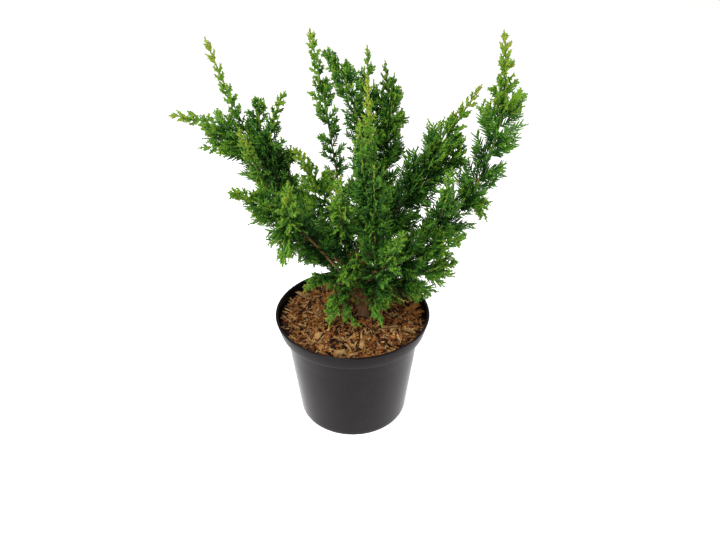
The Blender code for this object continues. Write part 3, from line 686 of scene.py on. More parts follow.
def side_places(limb, seed, refine):
    """Where a shoot's side sprays and spurs leave it, as arrays of t, turn, lean and length.

    The first of each group of refine is the solids' own spray. The others stand between it and the next and
    share out the turn about the stem. The spurs of the last stretch are refined towards the tip.
    """
    rng, finer = np.random.default_rng(seed), np.random.default_rng(seed + FINE_SEED)
    first = limb.bare * limb.length + FIRST_SPRAY
    stretch = leader_end(limb)
    last = limb.length - stretch
    count = max(1, int((last - first) / SPRAY_STEP) + 1)
    before = int((first - LEAFY_BOUGH * limb.bare * limb.length) / SPRAY_STEP)
    own = np.concatenate([finer.uniform(-1, 1, (before, 4)), rng.uniform(-1, 1, (count, 4))])
    k, j = np.meshgrid(np.arange(-before, count), np.arange(refine), indexing="ij")
    fine = j > 0
    draws = np.where(fine[..., None], finer.uniform(-1, 1, (*k.shape, 4)), own[:, None])
    wobble, jitter, growth, swing = np.moveaxis(draws, -1, 0)
    distance = first + (k + j / refine + STEP_SPREAD * wobble / (1 + (refine - 1) * fine)) * SPRAY_STEP
    away = limb.length - distance
    longest = np.minimum(limb.shoot.width * MM, TIP_SPRAY + SPRAY_GROWTH * (away - stretch))
    longest = np.where(fine, np.minimum(longest, FINE_SPRAY_REACH * away), longest)
    spread = np.where(fine, FINE_SPREAD * SIZE_SPREAD, SIZE_SPREAD)
    lean = LEAN_AT_TIP + (LEAN_AT_FOOT - LEAN_AT_TIP) * np.minimum(1, away / LEAN_STRETCH)
    lean = lean + LEAN_SWING * swing
    turn = GOLDEN_ANGLE * k + TURN_SPREAD * jitter + limb.shoot.flat + 360 * j / refine
    sprays = np.stack([distance / limb.length, turn, lean, longest * (1 - spread + spread * growth)], -1)
    sprays = sprays[(distance < last + STEP_SPREAD * SPRAY_STEP) & (distance > 0)]

    rng = np.random.default_rng(seed + SPUR_SEED)
    count = int(stretch / SPUR_STEP)
    own = np.concatenate([rng.uniform(-1, 1, (count, 2)), finer.uniform(-1, 1, (1, 2))])
    k, j = np.meshgrid(np.arange(count + 1), np.arange(SPUR_REFINE), indexing="ij")
    fine, pair, second = j > 0, j // 2, j % 2
    draws = np.where(fine[..., None], finer.uniform(-1, 1, (*k.shape, 2)), own[:, None])
    away = (k + FIRST_SPUR - PAIR_SHIFT * pair - SECOND_SHIFT * second) * SPUR_STEP
    near, far = SPUR_LENGTHS
    turn = GOLDEN_ANGLE * k + TURN_SPREAD * draws[..., 0] + 180 * second + 60 * pair
    length = near + (far - near) * away / stretch
    length = np.where(fine, np.minimum(length, FINE_SPUR_REACH * away + FINE_SPUR_LEAST), length)
    lean = SPUR_LEAN + FINE_SPUR_LEAN * fine + LEAN_SWING * draws[..., 1]
    spurs = np.stack([1 - away / limb.length, turn, lean, length], -1)
    return np.concatenate([sprays, spurs[away < stretch]])


@dataclass
class Twigs:
    """Many twigs of one order. A twig runs from root along a direction, and bends away from across."""

    root: np.ndarray
    along: np.ndarray
    across: np.ndarray
    length: np.ndarray
    age: np.ndarray  # 0 at the plant's newest tips, 1 deep inside
    light: np.ndarray  # painted light and shade on its leaves, in steps of tone

    def keep(self, mask):
        return Twigs(*[getattr(self, name)[mask] for name in self.__dataclass_fields__])

    @staticmethod
    def joined(parts):
        names = Twigs.__dataclass_fields__
        return Twigs(*[np.concatenate([getattr(part, name) for part in parts]) for name in names])

    def at(self, which, x):
        """Points and directions of the twigs numbered which, at distances x from their roots."""
        share = x / self.length[which]
        bend = SPRAY_BEND * x * share
        point = self.root[which] + self.along[which] * x[:, None] - self.across[which] * bend[:, None]
        slope = 2 * SPRAY_BEND * share
        return point, unit(self.along[which] - self.across[which] * slope[:, None])


def in_pot(points):
    """Which points lie in the mulch, or in the pot's wall."""
    reach = np.linalg.norm(points[:, :2], axis=1)
    deep = (points[:, 2] < MULCH_TOP + OVER_MULCH) & (reach < MULCH_REACH)
    wall = (points[:, 2] < RIM_TOP) & (reach > RIM_INSIDE) & (reach < RIM_OUTSIDE)
    return deep | wall


def age_at(away):
    """0 near a leader's tip, rising evenly with the distance from it to 1."""
    return np.clip((away - NEWEST) / AGEING, 0, 1)


def leaned(forward, outward, degrees):
    """Directions that lean off forward towards outward, and those square to them in the same plane."""
    lean = np.radians(degrees)[:, None]
    return np.cos(lean) * forward + np.sin(lean) * outward, np.cos(lean) * outward - np.sin(lean) * forward


def numbered(count):
    """For count[i] things on each twig i: the twig of each thing, and its own number on that twig."""
    which = np.repeat(np.arange(len(count)), count)
    return which, np.arange(count.sum()) - np.repeat(np.cumsum(count) - count, count)


@functools.lru_cache(maxsize=None)
def side_sprays(refine):
    """The first order: every shoot's side sprays and spurs, apart from those in the pot or at the trunk."""
    parts = []
    for number, limb in enumerate(all_limbs().values()):
        t, turn, lean, length = side_places(limb, SEED + number, refine).T
        along, across = leaned(limb.direction(t), limb.frame(t, turn), lean)
        # A shoot's bright is painted light, and below 0 it is painted shade that ages its sprays.
        bright = limb.shoot.bright
        age = np.clip(age_at((1 - t) * limb.length) + SHADE_AGE * max(0, -bright), 0, 1)
        parts.append(Twigs(limb.point(t), along, across, length, age, np.full(len(t), max(0, bright))))
    sprays = Twigs.joined(parts)
    every = np.arange(len(sprays.length))
    low = np.zeros(len(every), bool)
    for share in (0.5, 0.8, 1.0):
        low |= in_pot(sprays.at(every, share * sprays.length)[0])
    trunk = trunk_axis(np.linspace(0, 1, 30))
    middle = sprays.at(every, 0.7 * sprays.length)[0]
    near = np.linalg.norm(middle[:, None] - trunk[None], axis=2).min(axis=1) < TRUNK_SPACE
    # Crowded sprays count as older and take painted shade, and those most in the open painted light.
    depth = crowding(middle)
    sprays.age = np.maximum(sprays.age, CROWD_AGE * depth)
    sprays.light -= CROWD_SHADE * depth - OPEN_LIGHT
    return sprays.keep(~(low | near))


def crowding(points):
    """From 0 for the points that stand most in the open to 1 for those with the most others round them."""
    crowd = np.array([(np.linalg.norm(points - point, axis=1) < CROWD_REACH).sum() for point in points])
    return np.argsort(np.argsort(crowd)) / len(crowd)


@functools.lru_cache(maxsize=None)
def side_twigs(refine, step):
    """The second order: the slim twigs to the left and right of each spray, in its plane or a little off it.

    They stand closer on old sprays, and are longest at a third of a spray and three fifths as long at its
    end. A short spray carries none.
    """
    sprays = side_sprays(refine)
    rng = np.random.default_rng(SEED + TWIG_SEED)
    steps = step * (TWIG_GAP - GAP_FALL * sprays.age)
    count = (sprays.length * TWIG_STRETCH - TWIG_FOOT) / steps
    which, k = numbered(np.where(sprays.length > TWIGLESS, count, 0).astype(int))
    x = (k + FIRST_TWIG + STEP_SWING * rng.uniform(-1, 1, len(k))) * steps[which]
    point, forward = sprays.at(which, x)
    share = x / sprays.length[which]
    shape = np.minimum(TWIG_RISE[0] + TWIG_RISE[1] * share, TWIG_FALL[0] - TWIG_FALL[1] * share)
    length = sprays.length[which] * TWIG_LENGTH * shape * rng.uniform(*TWIG_SPREAD, len(k))
    length = np.clip(length, *TWIG_RANGE)
    normal = np.cross(forward, sprays.across[which])
    roll = TWIG_ROLL * rng.uniform(-1, 1, len(k)) + np.where(k % 6 == 4, RAISED_ROLL, 0)
    roll = np.radians(roll)[:, None]
    side = np.where(k % 2, 1.0, -1.0)[:, None]
    outward = unit(side * np.cos(roll) * np.cross(normal, forward) + np.sin(roll) * normal)
    lean = TWIG_LEAN - TWIG_LEAN_FALL * share + TWIG_LEAN_SWING * rng.uniform(-1, 1, len(k))
    along, across = leaned(forward, outward, lean)
    age = sprays.age[which] * (1 - TWIG_YOUTH * share)
    # Painted light towards the spray's end, and painted shade at its foot.
    light = sprays.light[which] + TWIG_LIGHT * share - TWIG_SHADE
    twigs = Twigs(point, along, across, length, age, light)
    return twigs.keep(~in_pot(twigs.at(np.arange(len(k)), length)[0]))


def tone_of(age, light, draw):
    """The number of the tone, from a twig's age and the painted light and shade on it: old growth is dark,
    and the last stretch of a leader bright.

    The yellow tones stay with the young growth, whatever the painted light and shade and the draw.
    """
    step = NEW_TONE - TONE_FALL * np.clip(age, 0, 1) ** TONE_CURVE + light + draw
    step = np.minimum(step, TONE_CAP - CAP_FALL * age)
    return np.clip(np.round(step), 0, len(TONES) - 1).astype(int)


def leaves_on(twigs, tones, step, lean, flat, seed):
    """Pairs of leaves along the twigs: roots, directions, sides and tones.

    Each pair stands square to the last, or all in the twig's own plane where flat is true.
    """
    rng = np.random.default_rng(seed)
    count = np.maximum(1, twigs.length / step).astype(int)
    which, k = numbered(count)
    x = twigs.length[which] * (k + FIRST_PAIR) / count[which]
    point, forward = twigs.at(which, x)
    tone = np.clip(tones[which] + rng.integers(-1, 2, len(k)), 0, len(TONES) - 1)
    return leaf_pairs(point, forward, twigs.across[which], k, tone, lean, flat, rng)


def leaf_pairs(point, forward, across, k, tone, lean, flat, rng):
    """Two opposite leaves at each point, lean degrees off the twig."""
    across = unit(across - forward * np.sum(across * forward, axis=1, keepdims=True))
    up = np.cross(forward, across)
    turn = LEAF_TURN * rng.uniform(-1, 1, len(k)) + (0 if flat else np.pi / 2 * (k % 2) + np.pi / 4)
    found = []
    for half in (0, np.pi):
        out = np.cos(turn + half)[:, None] * across + np.sin(turn + half)[:, None] * up
        along = leaned(forward, out, lean + LEAF_SWING * rng.uniform(-1, 1, len(k)))[0]
        found.append((point, along, np.cross(along, out), tone))
    return [np.concatenate(parts) for parts in zip(*found)]


@functools.lru_cache(maxsize=None)
def leader_leaves(step, lean):
    """Leaf pairs along the leafy part of every shoot's own stem."""
    rng, found = np.random.default_rng(SEED + 300), []
    for limb in all_limbs().values():
        start = limb.bare * (0.5 + 0.5 * LEAFY_BOUGH)
        count = int(limb.length * (1 - start) / step)
        k = np.arange(count)
        t = start + (1 - start) * (k + 0.5) / count
        draw = rng.normal(0, LEADER_DRAW, count)
        # The shoot's bright is painted light on the leaves of its own stem, and below 0 painted shade.
        tone = tone_of(age_at((1 - t) * limb.length), np.full(count, limb.shoot.bright), draw)
        found.append(leaf_pairs(
            limb.point(t), limb.direction(t), limb.frame(t, 0 * t), k, tone, lean, False, rng))
    return [np.concatenate(parts) for parts in zip(*found)]


def needle_solids(root, along, side, length, width):
    """Closed slim leaves: a root point, a three-cornered waist at two fifths of the length, and a tip point.

    The waist's corners are at the leaf's left edge, right edge and back.
    """
    back = np.cross(side, along)
    waist = root + along * (LEAF_WAIST * length)[:, None]
    half, thick = (width / 2)[:, None], (LEAF_DEPTH * width)[:, None]
    points = np.stack([
        root, waist + side * half - back * thick * 0.25, waist - side * half - back * thick * 0.25,
        waist + back * thick, root + along * length[:, None]], axis=1)
    each = np.array([[0, 1, 2], [0, 2, 3], [0, 3, 1], [4, 2, 1], [4, 3, 2], [4, 1, 3]])
    faces = each[None] + 5 * np.arange(len(root))[:, None, None]
    return points.reshape(-1, 3), faces.reshape(-1, 3)


def finger_solids(twigs, width, thickness):
    """Closed twigs that taper to a point: two end points, and two four-cornered rings along the bend."""
    every, normal = np.arange(len(twigs.length)), np.cross(twigs.along, twigs.across)
    rows = []
    for share, full in TWIG_RINGS:
        centre, forward = twigs.at(every, share * twigs.length)
        left = np.cross(normal, forward) * (width / 2 * full)[:, None]
        high = normal * (thickness / 2 * full)[:, None]
        rows += [centre + left, centre + high, centre - left, centre - high]
    points = np.stack([*rows, twigs.root, twigs.at(every, twigs.length)[0]], axis=1)
    faces = closed_faces(2, 4)[None] + 10 * every[:, None, None]
    return points.reshape(-1, 3), faces.reshape(-1, 3)


# Materials


def leaf_material(name, base, sheen):
    """A waxy green leaf: one plain colour, with the sheen broken up finely."""
    shader = Shader(name, base, IOR=1.45, Specular_IOR_Level=sheen)
    grain = shader.noise(shader.place(), 900.0, 2.0)
    shader.set("Roughness", grain * 0.3 + 0.32)
    shader.bump(grain, 0.15 * MM, 0.6)
    return shader.material


def bark_material(name, ridge, furrow, fine):
    """Bark in strips that follow the limb: streaks on its UV map, dark between the strips."""
    shader = Shader(name, ridge, Specular_IOR_Level=0.12)
    place = shader.scaled(shader.place(uv=True), (1.0, 0.14, 1.0))
    strips = shader.noise(place, 900.0 * fine, 5.0, 0.65)
    patches = shader.noise(shader.place(), 60.0, 2.0)
    shade = (strips * 0.75 + patches * 0.25).between(0.36, 0.62)
    light = tuple(min(1, 1.35 * c) for c in ridge)
    bark = shader.mix(shade, furrow, ridge)
    shader.set("Base Color", shader.mix(patches.between(0.4, 0.7) * 0.5, bark, light))
    shader.set("Roughness", 0.95 - shade * 0.2)
    shader.bump(strips, 0.5 * MM, 0.8)
    return shader.material


def chip_material(name, base):
    """Torn bark: grain along the chip, paler where it is broken."""
    shader = Shader(name, base, Specular_IOR_Level=0.08)
    grain = shader.noise(shader.scaled(shader.place(), (1.0, 1.0, 1.8)), 420.0, 4.0, 0.7)
    patches = shader.noise(shader.place(), 130.0, 2.0)
    dark, pale = tuple(0.45 * c for c in base), tuple(min(1, 1.5 * c) for c in base)
    grained = shader.mix(grain.between(0.35, 0.6), dark, base)
    shader.set("Base Color", shader.mix(patches.between(0.42, 0.66) * 0.6, grained, pale))
    shader.set("Roughness", 0.98 - grain * 0.25)
    shader.bump(grain, 0.5 * MM, 0.8)
    return shader.material


def pot_material(base):
    """Moulded black plastic: a soft sheen with faint flow marks, scuffs and a little dust."""
    shader = Shader("black_plastic", base, IOR=1.5, Specular_IOR_Level=0.09)
    place = shader.place()
    flow = shader.noise(shader.scaled(place, (1.0, 1.0, 0.18)), 70.0, 3.0)
    scuff = shader.noise(shader.scaled(place, (1.0, 1.0, 3.0)), 240.0, 4.0, 0.7)
    dust = shader.noise(place, 45.0, 4.0, 0.6).between(0.5, 0.75)
    pale = tuple(c + 0.004 for c in base)
    shader.set("Base Color", shader.mix(dust * 0.5, base, pale))
    shader.set("Roughness", flow * 0.08 + scuff.between(0.55, 0.75) * 0.08 + dust * 0.06 + 0.14)
    shader.bump(flow * 0.7 + scuff * 0.3, 0.15 * MM, 0.4)
    return shader.material


# Operators


def nodes_named(prefix):
    """The names of the part's nodes that start so."""
    return [name for name in frame["nodes"] if name.startswith(prefix)]


class HINOKI_OT_pot(bpy.types.Operator):
    """Turn the nursery pot with its rounded lip, collar and foot ring"""

    bl_idname = "hinoki.pot"
    bl_label = "Nursery pot"
    segments = 160
    wall = 1.6 * MM
    floor = 3 * MM
    rise = 1.1 * MM  # height of the lip's rounding
    ease = 1.2 * MM  # radius of the collar's lower corner
    # The underside from the middle to the foot ring's outer edge: radius and height in mm.
    underside = ((1, 0), (20, 0), (42, 0), (42.6, 0.2), (43.4, 1.4), (53.6, 1.4), (54.4, 0.2), (55, 0))

    def execute(self, context):
        s = context.scene.hinoki_pot
        ledge, top, half = s.height - s.collar, s.height, s.lip / 2
        foot = [(radius * MM, height * MM) for radius, height in self.underside]
        foot += [(s.base - 1.2 * MM, 0.0), (s.base - 0.35 * MM, 0.35 * MM)]
        neck = s.shoulder - 0.6 * MM
        body = [(s.base + (neck - s.base) * k, 1.2 * MM + (ledge - 4.2 * MM) * k)
                for k in np.linspace(0, 1, 24)[:-1]]
        under = [(neck, ledge - 3.0 * MM), (s.shoulder - 0.1 * MM, ledge - 0.8 * MM),
                 (s.shoulder + 0.7 * MM, ledge)]
        ease, rise, wall = self.ease, self.rise, self.wall
        collar = [(s.collar_foot - ease + ease * math.cos(a), ledge + ease + ease * math.sin(a))
                  for a in np.linspace(-np.pi / 2, 0, 6)]
        rounded = [(s.rim - half + half * math.cos(a), top - rise + rise * math.sin(a))
                   for a in np.linspace(0, np.pi, 9)]
        inside = [(s.rim - s.lip - 0.15 * MM, top - 3 * MM), (s.collar_foot - wall, ledge - wall + 0.5 * MM),
                  (s.shoulder, ledge - wall - 0.2 * MM), (s.base - wall, self.floor), (1 * MM, self.floor)]
        profile = foot + body + under + collar + rounded + inside
        points, faces = lathe(profile, self.segments, 0, self.floor)
        made = piece("nursery_pot", points, faces, pot_material(s.plastic), "pot", replaces=["pot"])
        made.data.set_sharp_from_angle(angle=math.radians(50))
        return {"FINISHED"}


class HINOKI_OT_mulch(bpy.types.Operator):
    """Lay the bed of mulch and strew bark chips and fibres over it"""

    bl_idname = "hinoki.mulch"
    bl_label = "Bark mulch"
    rings, segments = 60, 180
    underside = 112.6 * MM
    taper = 0.965  # the underside's radius as a share of the top's
    strewn = 77 * MM  # how far out chips are dealt
    edge = 80.5 * MM  # and how far out a corner may reach
    fall_start, fall_width = 55 * MM, 26 * MM  # where the bed starts to fall, and over what distance
    fall = 3.0 * MM
    chip_shares = (0.22, 0.26, 0.24, 0.28)  # tan, rust, red and dark
    fibre_shares = (0.45, 0.30, 0.15, 0.10)
    # The large chips: x and y in mm, turn in degrees, length, width and thickness in mm, and kind.
    large = ((-36, -40, 70, 13, 8.5, 2.2, 0), (10, -57, 85, 15, 5.5, 2.4, 0), (68, 13, 35, 27, 6.5, 2.6, 1),
             (74, 3, 20, 16, 4.5, 2.0, 1), (-70, -12, -52, 26, 1.4, 1.0, 0), (-64, -22, -35, 18, 1.2, 0.9, 0),
             (40, -12, 120, 17, 5.0, 2.2, 2), (-12, -66, 15, 12, 5.0, 1.8, 0), (-30, 30, 60, 16, 6.0, 2.4, 1),
             (20, 48, 10, 18, 6.0, 2.4, 2), (-60, 38, -30, 14, 5.0, 2.2, 0))

    @staticmethod
    def surface(x, y):
        """The bed's height: flat in the middle, falling towards the wall, with low heaps."""
        mulch = HINOKI_OT_mulch
        outward = np.clip((np.hypot(x, y) - mulch.fall_start) / mulch.fall_width, 0, 1)
        heaps = waves(x * 70, y * 70 + 1.7, 5, 20, 1, 6) * 1.4 * MM
        heaps = heaps + waves(x * 200, y * 200, 6, 20, 1, 6) * 0.7 * MM
        return MULCH_TOP - 1.0 * MM - mulch.fall * outward**1.3 + heaps

    def execute(self, context):
        s = context.scene.hinoki_pot
        reach = np.linspace(0, s.rim - s.lip - 0.4 * MM, self.rings)[1:, None]
        angle = (2 * np.pi * np.arange(self.segments) / self.segments)[None]
        x, y = reach * np.cos(angle), reach * np.sin(angle)
        top = np.stack([x, y, self.surface(x, y)], -1).reshape(-1, 3)
        under = top[-self.segments:] * [self.taper, self.taper, 0] + [0, 0, self.underside]
        middle = [[0, 0, float(self.surface(0.0, 0.0))], [0, 0, self.underside]]
        faces = closed_faces(self.rings, self.segments)[:, ::-1]
        # The bed shows only in the gaps between the chips, and its near-black colour is partly painted shade
        # there.
        piece("mulch_bed", np.concatenate([top, under, middle]), faces, chip_material("peat", s.peat),
              "mulch", replaces=["mulch"])

        rng = np.random.default_rng(SEED + 900)
        looks = {"tan": s.tan, "rust": s.rust, "red": s.red, "dark": s.dark}
        kind = rng.choice(4, s.chips, p=self.chip_shares)
        sizes = np.stack([rng.gamma(2.6, 2.9, s.chips) + 2.5, rng.uniform(1.0, 3.2, s.chips),
                          rng.uniform(0.6, 2.0, s.chips)], -1).clip(0, 20) * MM
        self.strew(looks, kind, sizes, rng, "chips", 30, 0.9)
        kind = rng.choice(4, s.fibres, p=self.fibre_shares)
        sizes = np.stack([rng.uniform(6, 19, s.fibres), rng.uniform(0.5, 1.3, s.fibres),
                          rng.uniform(0.3, 0.7, s.fibres)], -1) * MM
        self.strew(looks, kind, sizes, rng, "fibres", 16, 1.3)
        x, y, turn, long, wide, thick, kind = np.array(self.large).T
        sizes = np.stack([long, wide, thick], -1) * MM
        places = (x * MM, y * MM, np.radians(turn))
        self.strew(looks, kind.astype(int), sizes, rng, "large_chips", 5, 2.4, places)
        return {"FINISHED"}

    def strew(self, looks, kind, sizes, rng, word, tilt, lift, places=None):
        """Chips as blocks with each corner moved a little, turned at random and laid on the bed.

        tilt is in degrees, and lift is the greatest height over the bed in mm.
        """
        count = len(sizes)
        reach = self.strewn * np.sqrt(rng.uniform(0.002, 1, count))
        angle = rng.uniform(0, 2 * np.pi, count)
        x, y, turn = places or (
            reach * np.cos(angle), reach * np.sin(angle), rng.uniform(0, 2 * np.pi, count))
        corners = np.array([[a, b, c] for a in (-1, 1) for b in (-1, 1) for c in (-1, 1)]) / 2
        local = corners[None] * sizes[:, None] * rng.uniform(0.62, 1.12, (count, 8, 3))
        local[:, :, 2] += 0.10 * local[:, :, 0] * rng.uniform(-1, 1, (count, 1))
        pitch, roll = np.radians(rng.normal(0, tilt, (2, count)))
        local = turned(turned(turned(local, pitch, 2, 0), roll, 1, 2), turn, 0, 1)
        raised = rng.uniform(0, 1, count) if places is None else 1
        height = self.surface(x, y) + sizes[:, 2] * 0.4 + lift * MM * raised
        points = local + np.stack([x, y, height], -1)[:, None]
        wide = np.linalg.norm(points[:, :, :2], axis=2, keepdims=True)
        points[:, :, :2] *= np.minimum(1, self.edge / wide)
        block = np.array([[0, 1, 3], [0, 3, 2], [4, 6, 7], [4, 7, 5], [0, 4, 5], [0, 5, 1],
                          [2, 3, 7], [2, 7, 6], [0, 2, 6], [0, 6, 4], [1, 5, 7], [1, 7, 3]])
        for number, (name, base) in enumerate(looks.items()):
            own, title = points[kind == number], f"{word}_{name}"
            faces = block[None] + 8 * np.arange(len(own))[:, None, None]
            if len(own):
                piece(title, own, faces, chip_material(title, base), "mulch", smooth=False)


class HINOKI_OT_wood(bpy.types.Operator):
    """Grow the trunk and the boughs with the relief of their bark"""

    bl_idname = "hinoki.wood"
    bl_label = "Trunk and boughs"
    trunk_rings, trunk_sides, bough_sides = 90, 44, 16
    buried = 5 * MM  # how far the trunk's bark goes on into the mulch
    bough_step = 1.6 * MM  # from one ring of a bough to the next
    bough_relief = 0.45  # as a share of the trunk's
    collar, collar_length = 0.3, 4 * MM  # how much a bough swells where it leaves, and how soon that fades

    @staticmethod
    def limb_mesh(centres, radii, sides, relief, seed):
        """A limb whose radius carries waves of relief that run along it. Returns points, faces and UVs."""
        rings = len(radii)
        along = unit(np.gradient(centres, axis=0))
        across = unit(np.cross(along[0], [0.3, 1.0, 0.2]))
        frames = []
        for forward in along:
            across = unit(across - forward * (across @ forward))
            frames.append(across)
        frames = np.array(frames)
        up = np.cross(along, frames)
        angle = 2 * np.pi * np.arange(sides) / sides
        run = np.concatenate([[0], np.cumsum(np.linalg.norm(np.diff(centres, axis=0), axis=1))])
        ridges = waves(angle[None], run[:, None] * 300, seed, 26, 3, 15, 6.0)
        radius = radii[:, None] + relief * (np.abs(ridges) * 1.4 - 0.5)
        ring = np.cos(angle)[None, :, None] * frames[:, None] + np.sin(angle)[None, :, None] * up[:, None]
        body = (centres[:, None] + radius[..., None] * ring).reshape(-1, 3)
        points = np.concatenate([body, centres[:1], centres[-1:] + along[-1] * radii[-1]])
        wrap = np.minimum(angle, 2 * np.pi - angle)
        uv = np.stack(np.broadcast_arrays(wrap[None] * radii[:, None], run[:, None]), -1).reshape(-1, 2)
        return points, closed_faces(rings, sides), np.concatenate([uv, uv[:1], uv[-1:]])

    def execute(self, context):
        s = context.scene.hinoki_wood
        t = np.linspace(0, 1, self.trunk_rings)
        foot = trunk_axis(0.0) - [0, 0, self.buried]
        centres = np.concatenate([[foot], trunk_axis(t)])
        radii = np.concatenate([[float(trunk_radius(0)) * 1.15], trunk_radius(t)])
        points, faces, uv = self.limb_mesh(centres, radii, self.trunk_sides, s.relief, SEED)
        material = bark_material("trunk_bark", s.bark, s.furrow, 1.0)
        piece("trunk_bark", points, faces, material, "bark", uv=uv, replaces=["trunk"])
        parts, maps = [], []
        for number, limb in enumerate(all_limbs().values()):
            if limb.bare == 0:
                continue
            rings = max(10, int(limb.length * limb.bare / self.bough_step))
            t = np.linspace(0, limb.bare, rings)
            centres = np.concatenate([[limb.axis + (limb.point(0) - limb.axis) * 0.4], limb.point(t)])
            swelling = 1 + self.collar * np.exp(-t * limb.length / self.collar_length)
            radii = np.concatenate([[BOUGH_RADIUS * 1.25], limb.radius(t) * swelling])
            relief = s.relief * self.bough_relief
            points, faces, uv = self.limb_mesh(centres, radii, self.bough_sides, relief, SEED + number)
            parts.append((points, faces))
            maps.append(uv)
        material = bark_material("bough_bark", s.twig, s.furrow, 1.3)
        piece("bough_bark", *joined(parts), material, "young_bark", uv=np.concatenate(maps),
              replaces=nodes_named("bough_"))
        return {"FINISHED"}


class HINOKI_OT_stems(bpy.types.Operator):
    """Grow the stems inside the foliage and the twigs that carry its sprays"""

    bl_idname = "hinoki.stems"
    bl_label = "Stems and twigs"
    golden = ("right_outer", "upright_front")
    woody_end = 0.47  # the shares of the leafy part where the woody stem ends and the green one starts
    green_start = 0.45
    rings, sides = 24, 6

    def execute(self, context):
        s, w = context.scene.hinoki_foliage, context.scene.hinoki_wood
        woody, golden, green = [], [], []
        for limb in all_limbs().values():
            old = golden if limb.shoot.name in self.golden else woody
            old.append(self.stem(limb, limb.bare, limb.bare + self.woody_end * (1 - limb.bare)))
            green.append(self.stem(limb, limb.bare + self.green_start * (1 - limb.bare), 1.0))
        for name, parts, material, slot in (
            ("woody_stems", woody, bark_material("stem_bark", w.woody, w.furrow, 1.6), "young_bark"),
            ("golden_stems", golden, bark_material("golden_bark", w.golden, w.bark, 1.6), "young_bark"),
            ("young_stems", green, leaf_material("young_stem", s.stem, 0.2), "foliage"),
        ):
            centres, radii, across = (np.array(p) for p in zip(*parts))
            points, faces = tubes(centres, radii, self.sides, across)
            piece(name, points, faces, material, slot)
        return {"FINISHED"}

    def stem(self, limb, start, end):
        """One stretch of a shoot's stem: its centres, its radii and a direction across it."""
        t = np.linspace(start, end, self.rings)
        return limb.point(t), limb.radius(t), limb.frame(np.array(0.5), np.array(0.0))


class HINOKI_OT_leaves(bpy.types.Operator):
    """Grow the sprays' slim twigs and set leaves on them, joined by tone"""

    bl_idname = "hinoki.leaves"
    bl_label = "Sprays and leaves"
    most = 190000  # triangles in one piece
    dullest = 0.06  # the sheen of the darkest tone
    brighter = 0.03  # what each tone adds to the last one's

    def execute(self, context):
        s = context.scene.hinoki_foliage
        rng = np.random.default_rng(SEED + 503)
        sprays, twigs = side_sprays(s.refine), side_twigs(s.refine, s.twig_step)
        # The sprays' draw has a mean below 0: painted shade on their axes under the twigs.
        groups = ((sprays, SPRAY_SHADE_AND_DRAW, SPRAY_WIDTH), (twigs, TWIG_DRAW, 1.0))
        tones = [tone_of(g.age, g.light, rng.normal(*draw, len(g.age))) for g, draw, _ in groups]
        solids = [[] for _ in TONES]
        for (group, _, wide), tone in zip(groups, tones):
            for number, parts in enumerate(solids):
                own = group.keep(tone == number)
                width = s.twig_width * wide * (NEW_WIDTH - WIDTH_FALL * own.age)
                width = width * rng.uniform(*WIDTH_SPREAD, len(own.length))
                parts.append(finger_solids(own, width, TWIG_DEPTH * width))
        young, grown = twigs.age < YOUNG_AGE, (twigs.age >= YOUNG_AGE) & (twigs.age < GROWN_AGE)
        near = sprays.age < NEAR_AGE
        leaves = [
            leaves_on(twigs.keep(young), tones[1][young], *YOUNG_PAIRS, True, SEED + 501),
            leaves_on(twigs.keep(grown), tones[1][grown], *GROWN_PAIRS, True, SEED + 502),
            leaves_on(sprays.keep(near), tones[0][near], s.node_step, NEAR_LEAN, False, SEED + 504),
            leader_leaves(s.node_step, LEADER_LEAN),
        ]
        root, along, side, tone = (np.concatenate(p) for p in zip(*leaves))
        length = s.leaf_length * rng.uniform(*LEAF_SPREAD, len(root))
        width = np.full(len(root), s.leaf_width)
        for number, (name, parts) in enumerate(zip(TONES, solids)):
            own = tone == number
            parts.append(needle_solids(root[own], along[own], side[own], length[own], width[own]))
            sheen = self.dullest + self.brighter * number
            material = leaf_material("leaf_" + name, getattr(s, name), sheen)
            self.show(name, *joined(parts), material, nodes_named("foliage_") if number == 1 else ())
        return {"FINISHED"}

    def show(self, name, points, faces, material, replaces):
        """One tone, in as many pieces as its triangles need. The first piece replaces the nodes named."""
        count = math.ceil(len(faces) / self.most)
        for part in range(count):
            cut = slice(part * self.most, (part + 1) * self.most)
            used, own = np.unique(faces[cut], return_inverse=True)
            title = f"leaves_{name}" + (f"_{part + 1}" if count > 1 else "")
            piece(title, points[used], own.reshape(-1, 3), material, "foliage",
                  replaces=() if part else replaces)


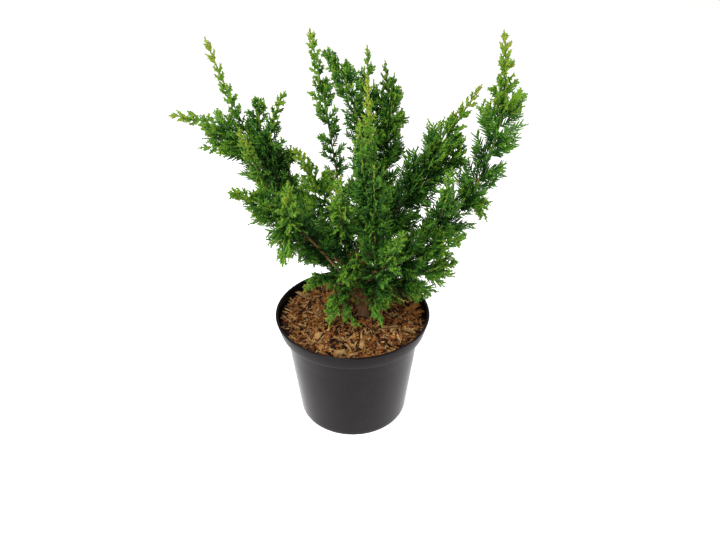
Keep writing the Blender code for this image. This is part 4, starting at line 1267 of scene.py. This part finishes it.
class HINOKI_OT_stage(bpy.types.Operator):
    """Set the pale floor, the soft lights and the camera"""

    bl_idname = "hinoki.stage"
    bl_label = "Stage"

    def execute(self, context):
        s, scene = context.scene.hinoki_stage, context.scene
        half = 12.0
        square = [(-half, -half, 0), (half, -half, 0), (half, half, 0), (-half, half, 0)]
        mesh = bpy.data.meshes.new("floor")
        mesh.from_pydata(square, [], [(0, 1, 2, 3)])
        floor = bpy.data.objects.new("floor", mesh)
        scene.collection.objects.link(floor)
        shader = Shader("floor", s.floor, Roughness=0.8, Specular_IOR_Level=0.2, Emission_Strength=s.glow)
        shader.set("Emission Color", (1.0, 1.0, 1.0))
        mesh.materials.append(shader.material)
        floor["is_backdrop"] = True
        world = bpy.data.worlds.new("studio")
        world.use_nodes = True
        world.node_tree.nodes["Background"].inputs["Color"].default_value = (1.0, 0.995, 0.99, 1)
        world.node_tree.nodes["Background"].inputs["Strength"].default_value = s.sky
        scene.world = world
        self.light("key", (-0.45, -0.75, 1.35), (0, 0, 0.22), 0.8, s.key)
        self.light("left", (-1.15, -0.35, 0.75), (0, 0, 0.18), 0.6, s.side)
        self.light("right", (1.15, -0.25, 0.75), (0, 0, 0.18), 0.6, s.side)
        camera = bpy.data.objects.new("camera", bpy.data.cameras.new("camera"))
        scene.collection.objects.link(camera)
        camera.data.lens, camera.data.sensor_width = s.lens, 36
        camera.location = s.place
        camera.rotation_euler = (math.pi / 2 - s.pitch, 0, 0)
        scene.camera = camera
        scene.view_settings.view_transform = "Standard"
        return {"FINISHED"}

    @staticmethod
    def light(name, place, target, width, power):
        made = bpy.data.objects.new(name, bpy.data.lights.new(name, "AREA"))
        bpy.context.scene.collection.objects.link(made)
        made.data.shape, made.data.size, made.data.energy = "SQUARE", width, power
        made.location = place
        away = np.array(place) - np.array(target)
        made.rotation_euler = (math.atan2(math.hypot(*away[:2]), away[2]), 0, math.atan2(away[0], -away[1]))


class HINOKI_PT_panel(bpy.types.Panel):
    """Lists the plant's pieces"""

    bl_idname = "HINOKI_PT_panel"
    bl_label = "Potted hinoki"
    bl_space_type = "VIEW_3D"
    bl_region_type = "UI"
    bl_category = "Hinoki"

    def draw(self, context):
        for operator in OPERATORS:
            self.layout.operator(operator.bl_idname)


SETTINGS = {
    "hinoki_foliage": FoliageSettings,
    "hinoki_wood": WoodSettings,
    "hinoki_pot": PotSettings,
    "hinoki_stage": StageSettings,
}
OPERATORS = (
    HINOKI_OT_pot, HINOKI_OT_mulch, HINOKI_OT_wood, HINOKI_OT_stems, HINOKI_OT_leaves, HINOKI_OT_stage,
)


def register():
    for group in (*SETTINGS.values(), *OPERATORS, HINOKI_PT_panel):
        bpy.utils.register_class(group)
    for name, group in SETTINGS.items():
        setattr(bpy.types.Scene, name, PointerProperty(type=group))


def unregister():
    for name in SETTINGS:
        delattr(bpy.types.Scene, name)
    for group in (HINOKI_PT_panel, *reversed(OPERATORS), *reversed(SETTINGS.values())):
        bpy.utils.unregister_class(group)


def corners():
    """The lowest and highest corner of what is shown, as plain lists."""
    return [[round(c, 5) for c in corner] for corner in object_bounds()]


def main():
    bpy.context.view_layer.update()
    register()
    for operator in OPERATORS:
        group, name = operator.bl_idname.split(".")
        getattr(getattr(bpy.ops, group), name)()


if __name__ == "__main__":
    main()
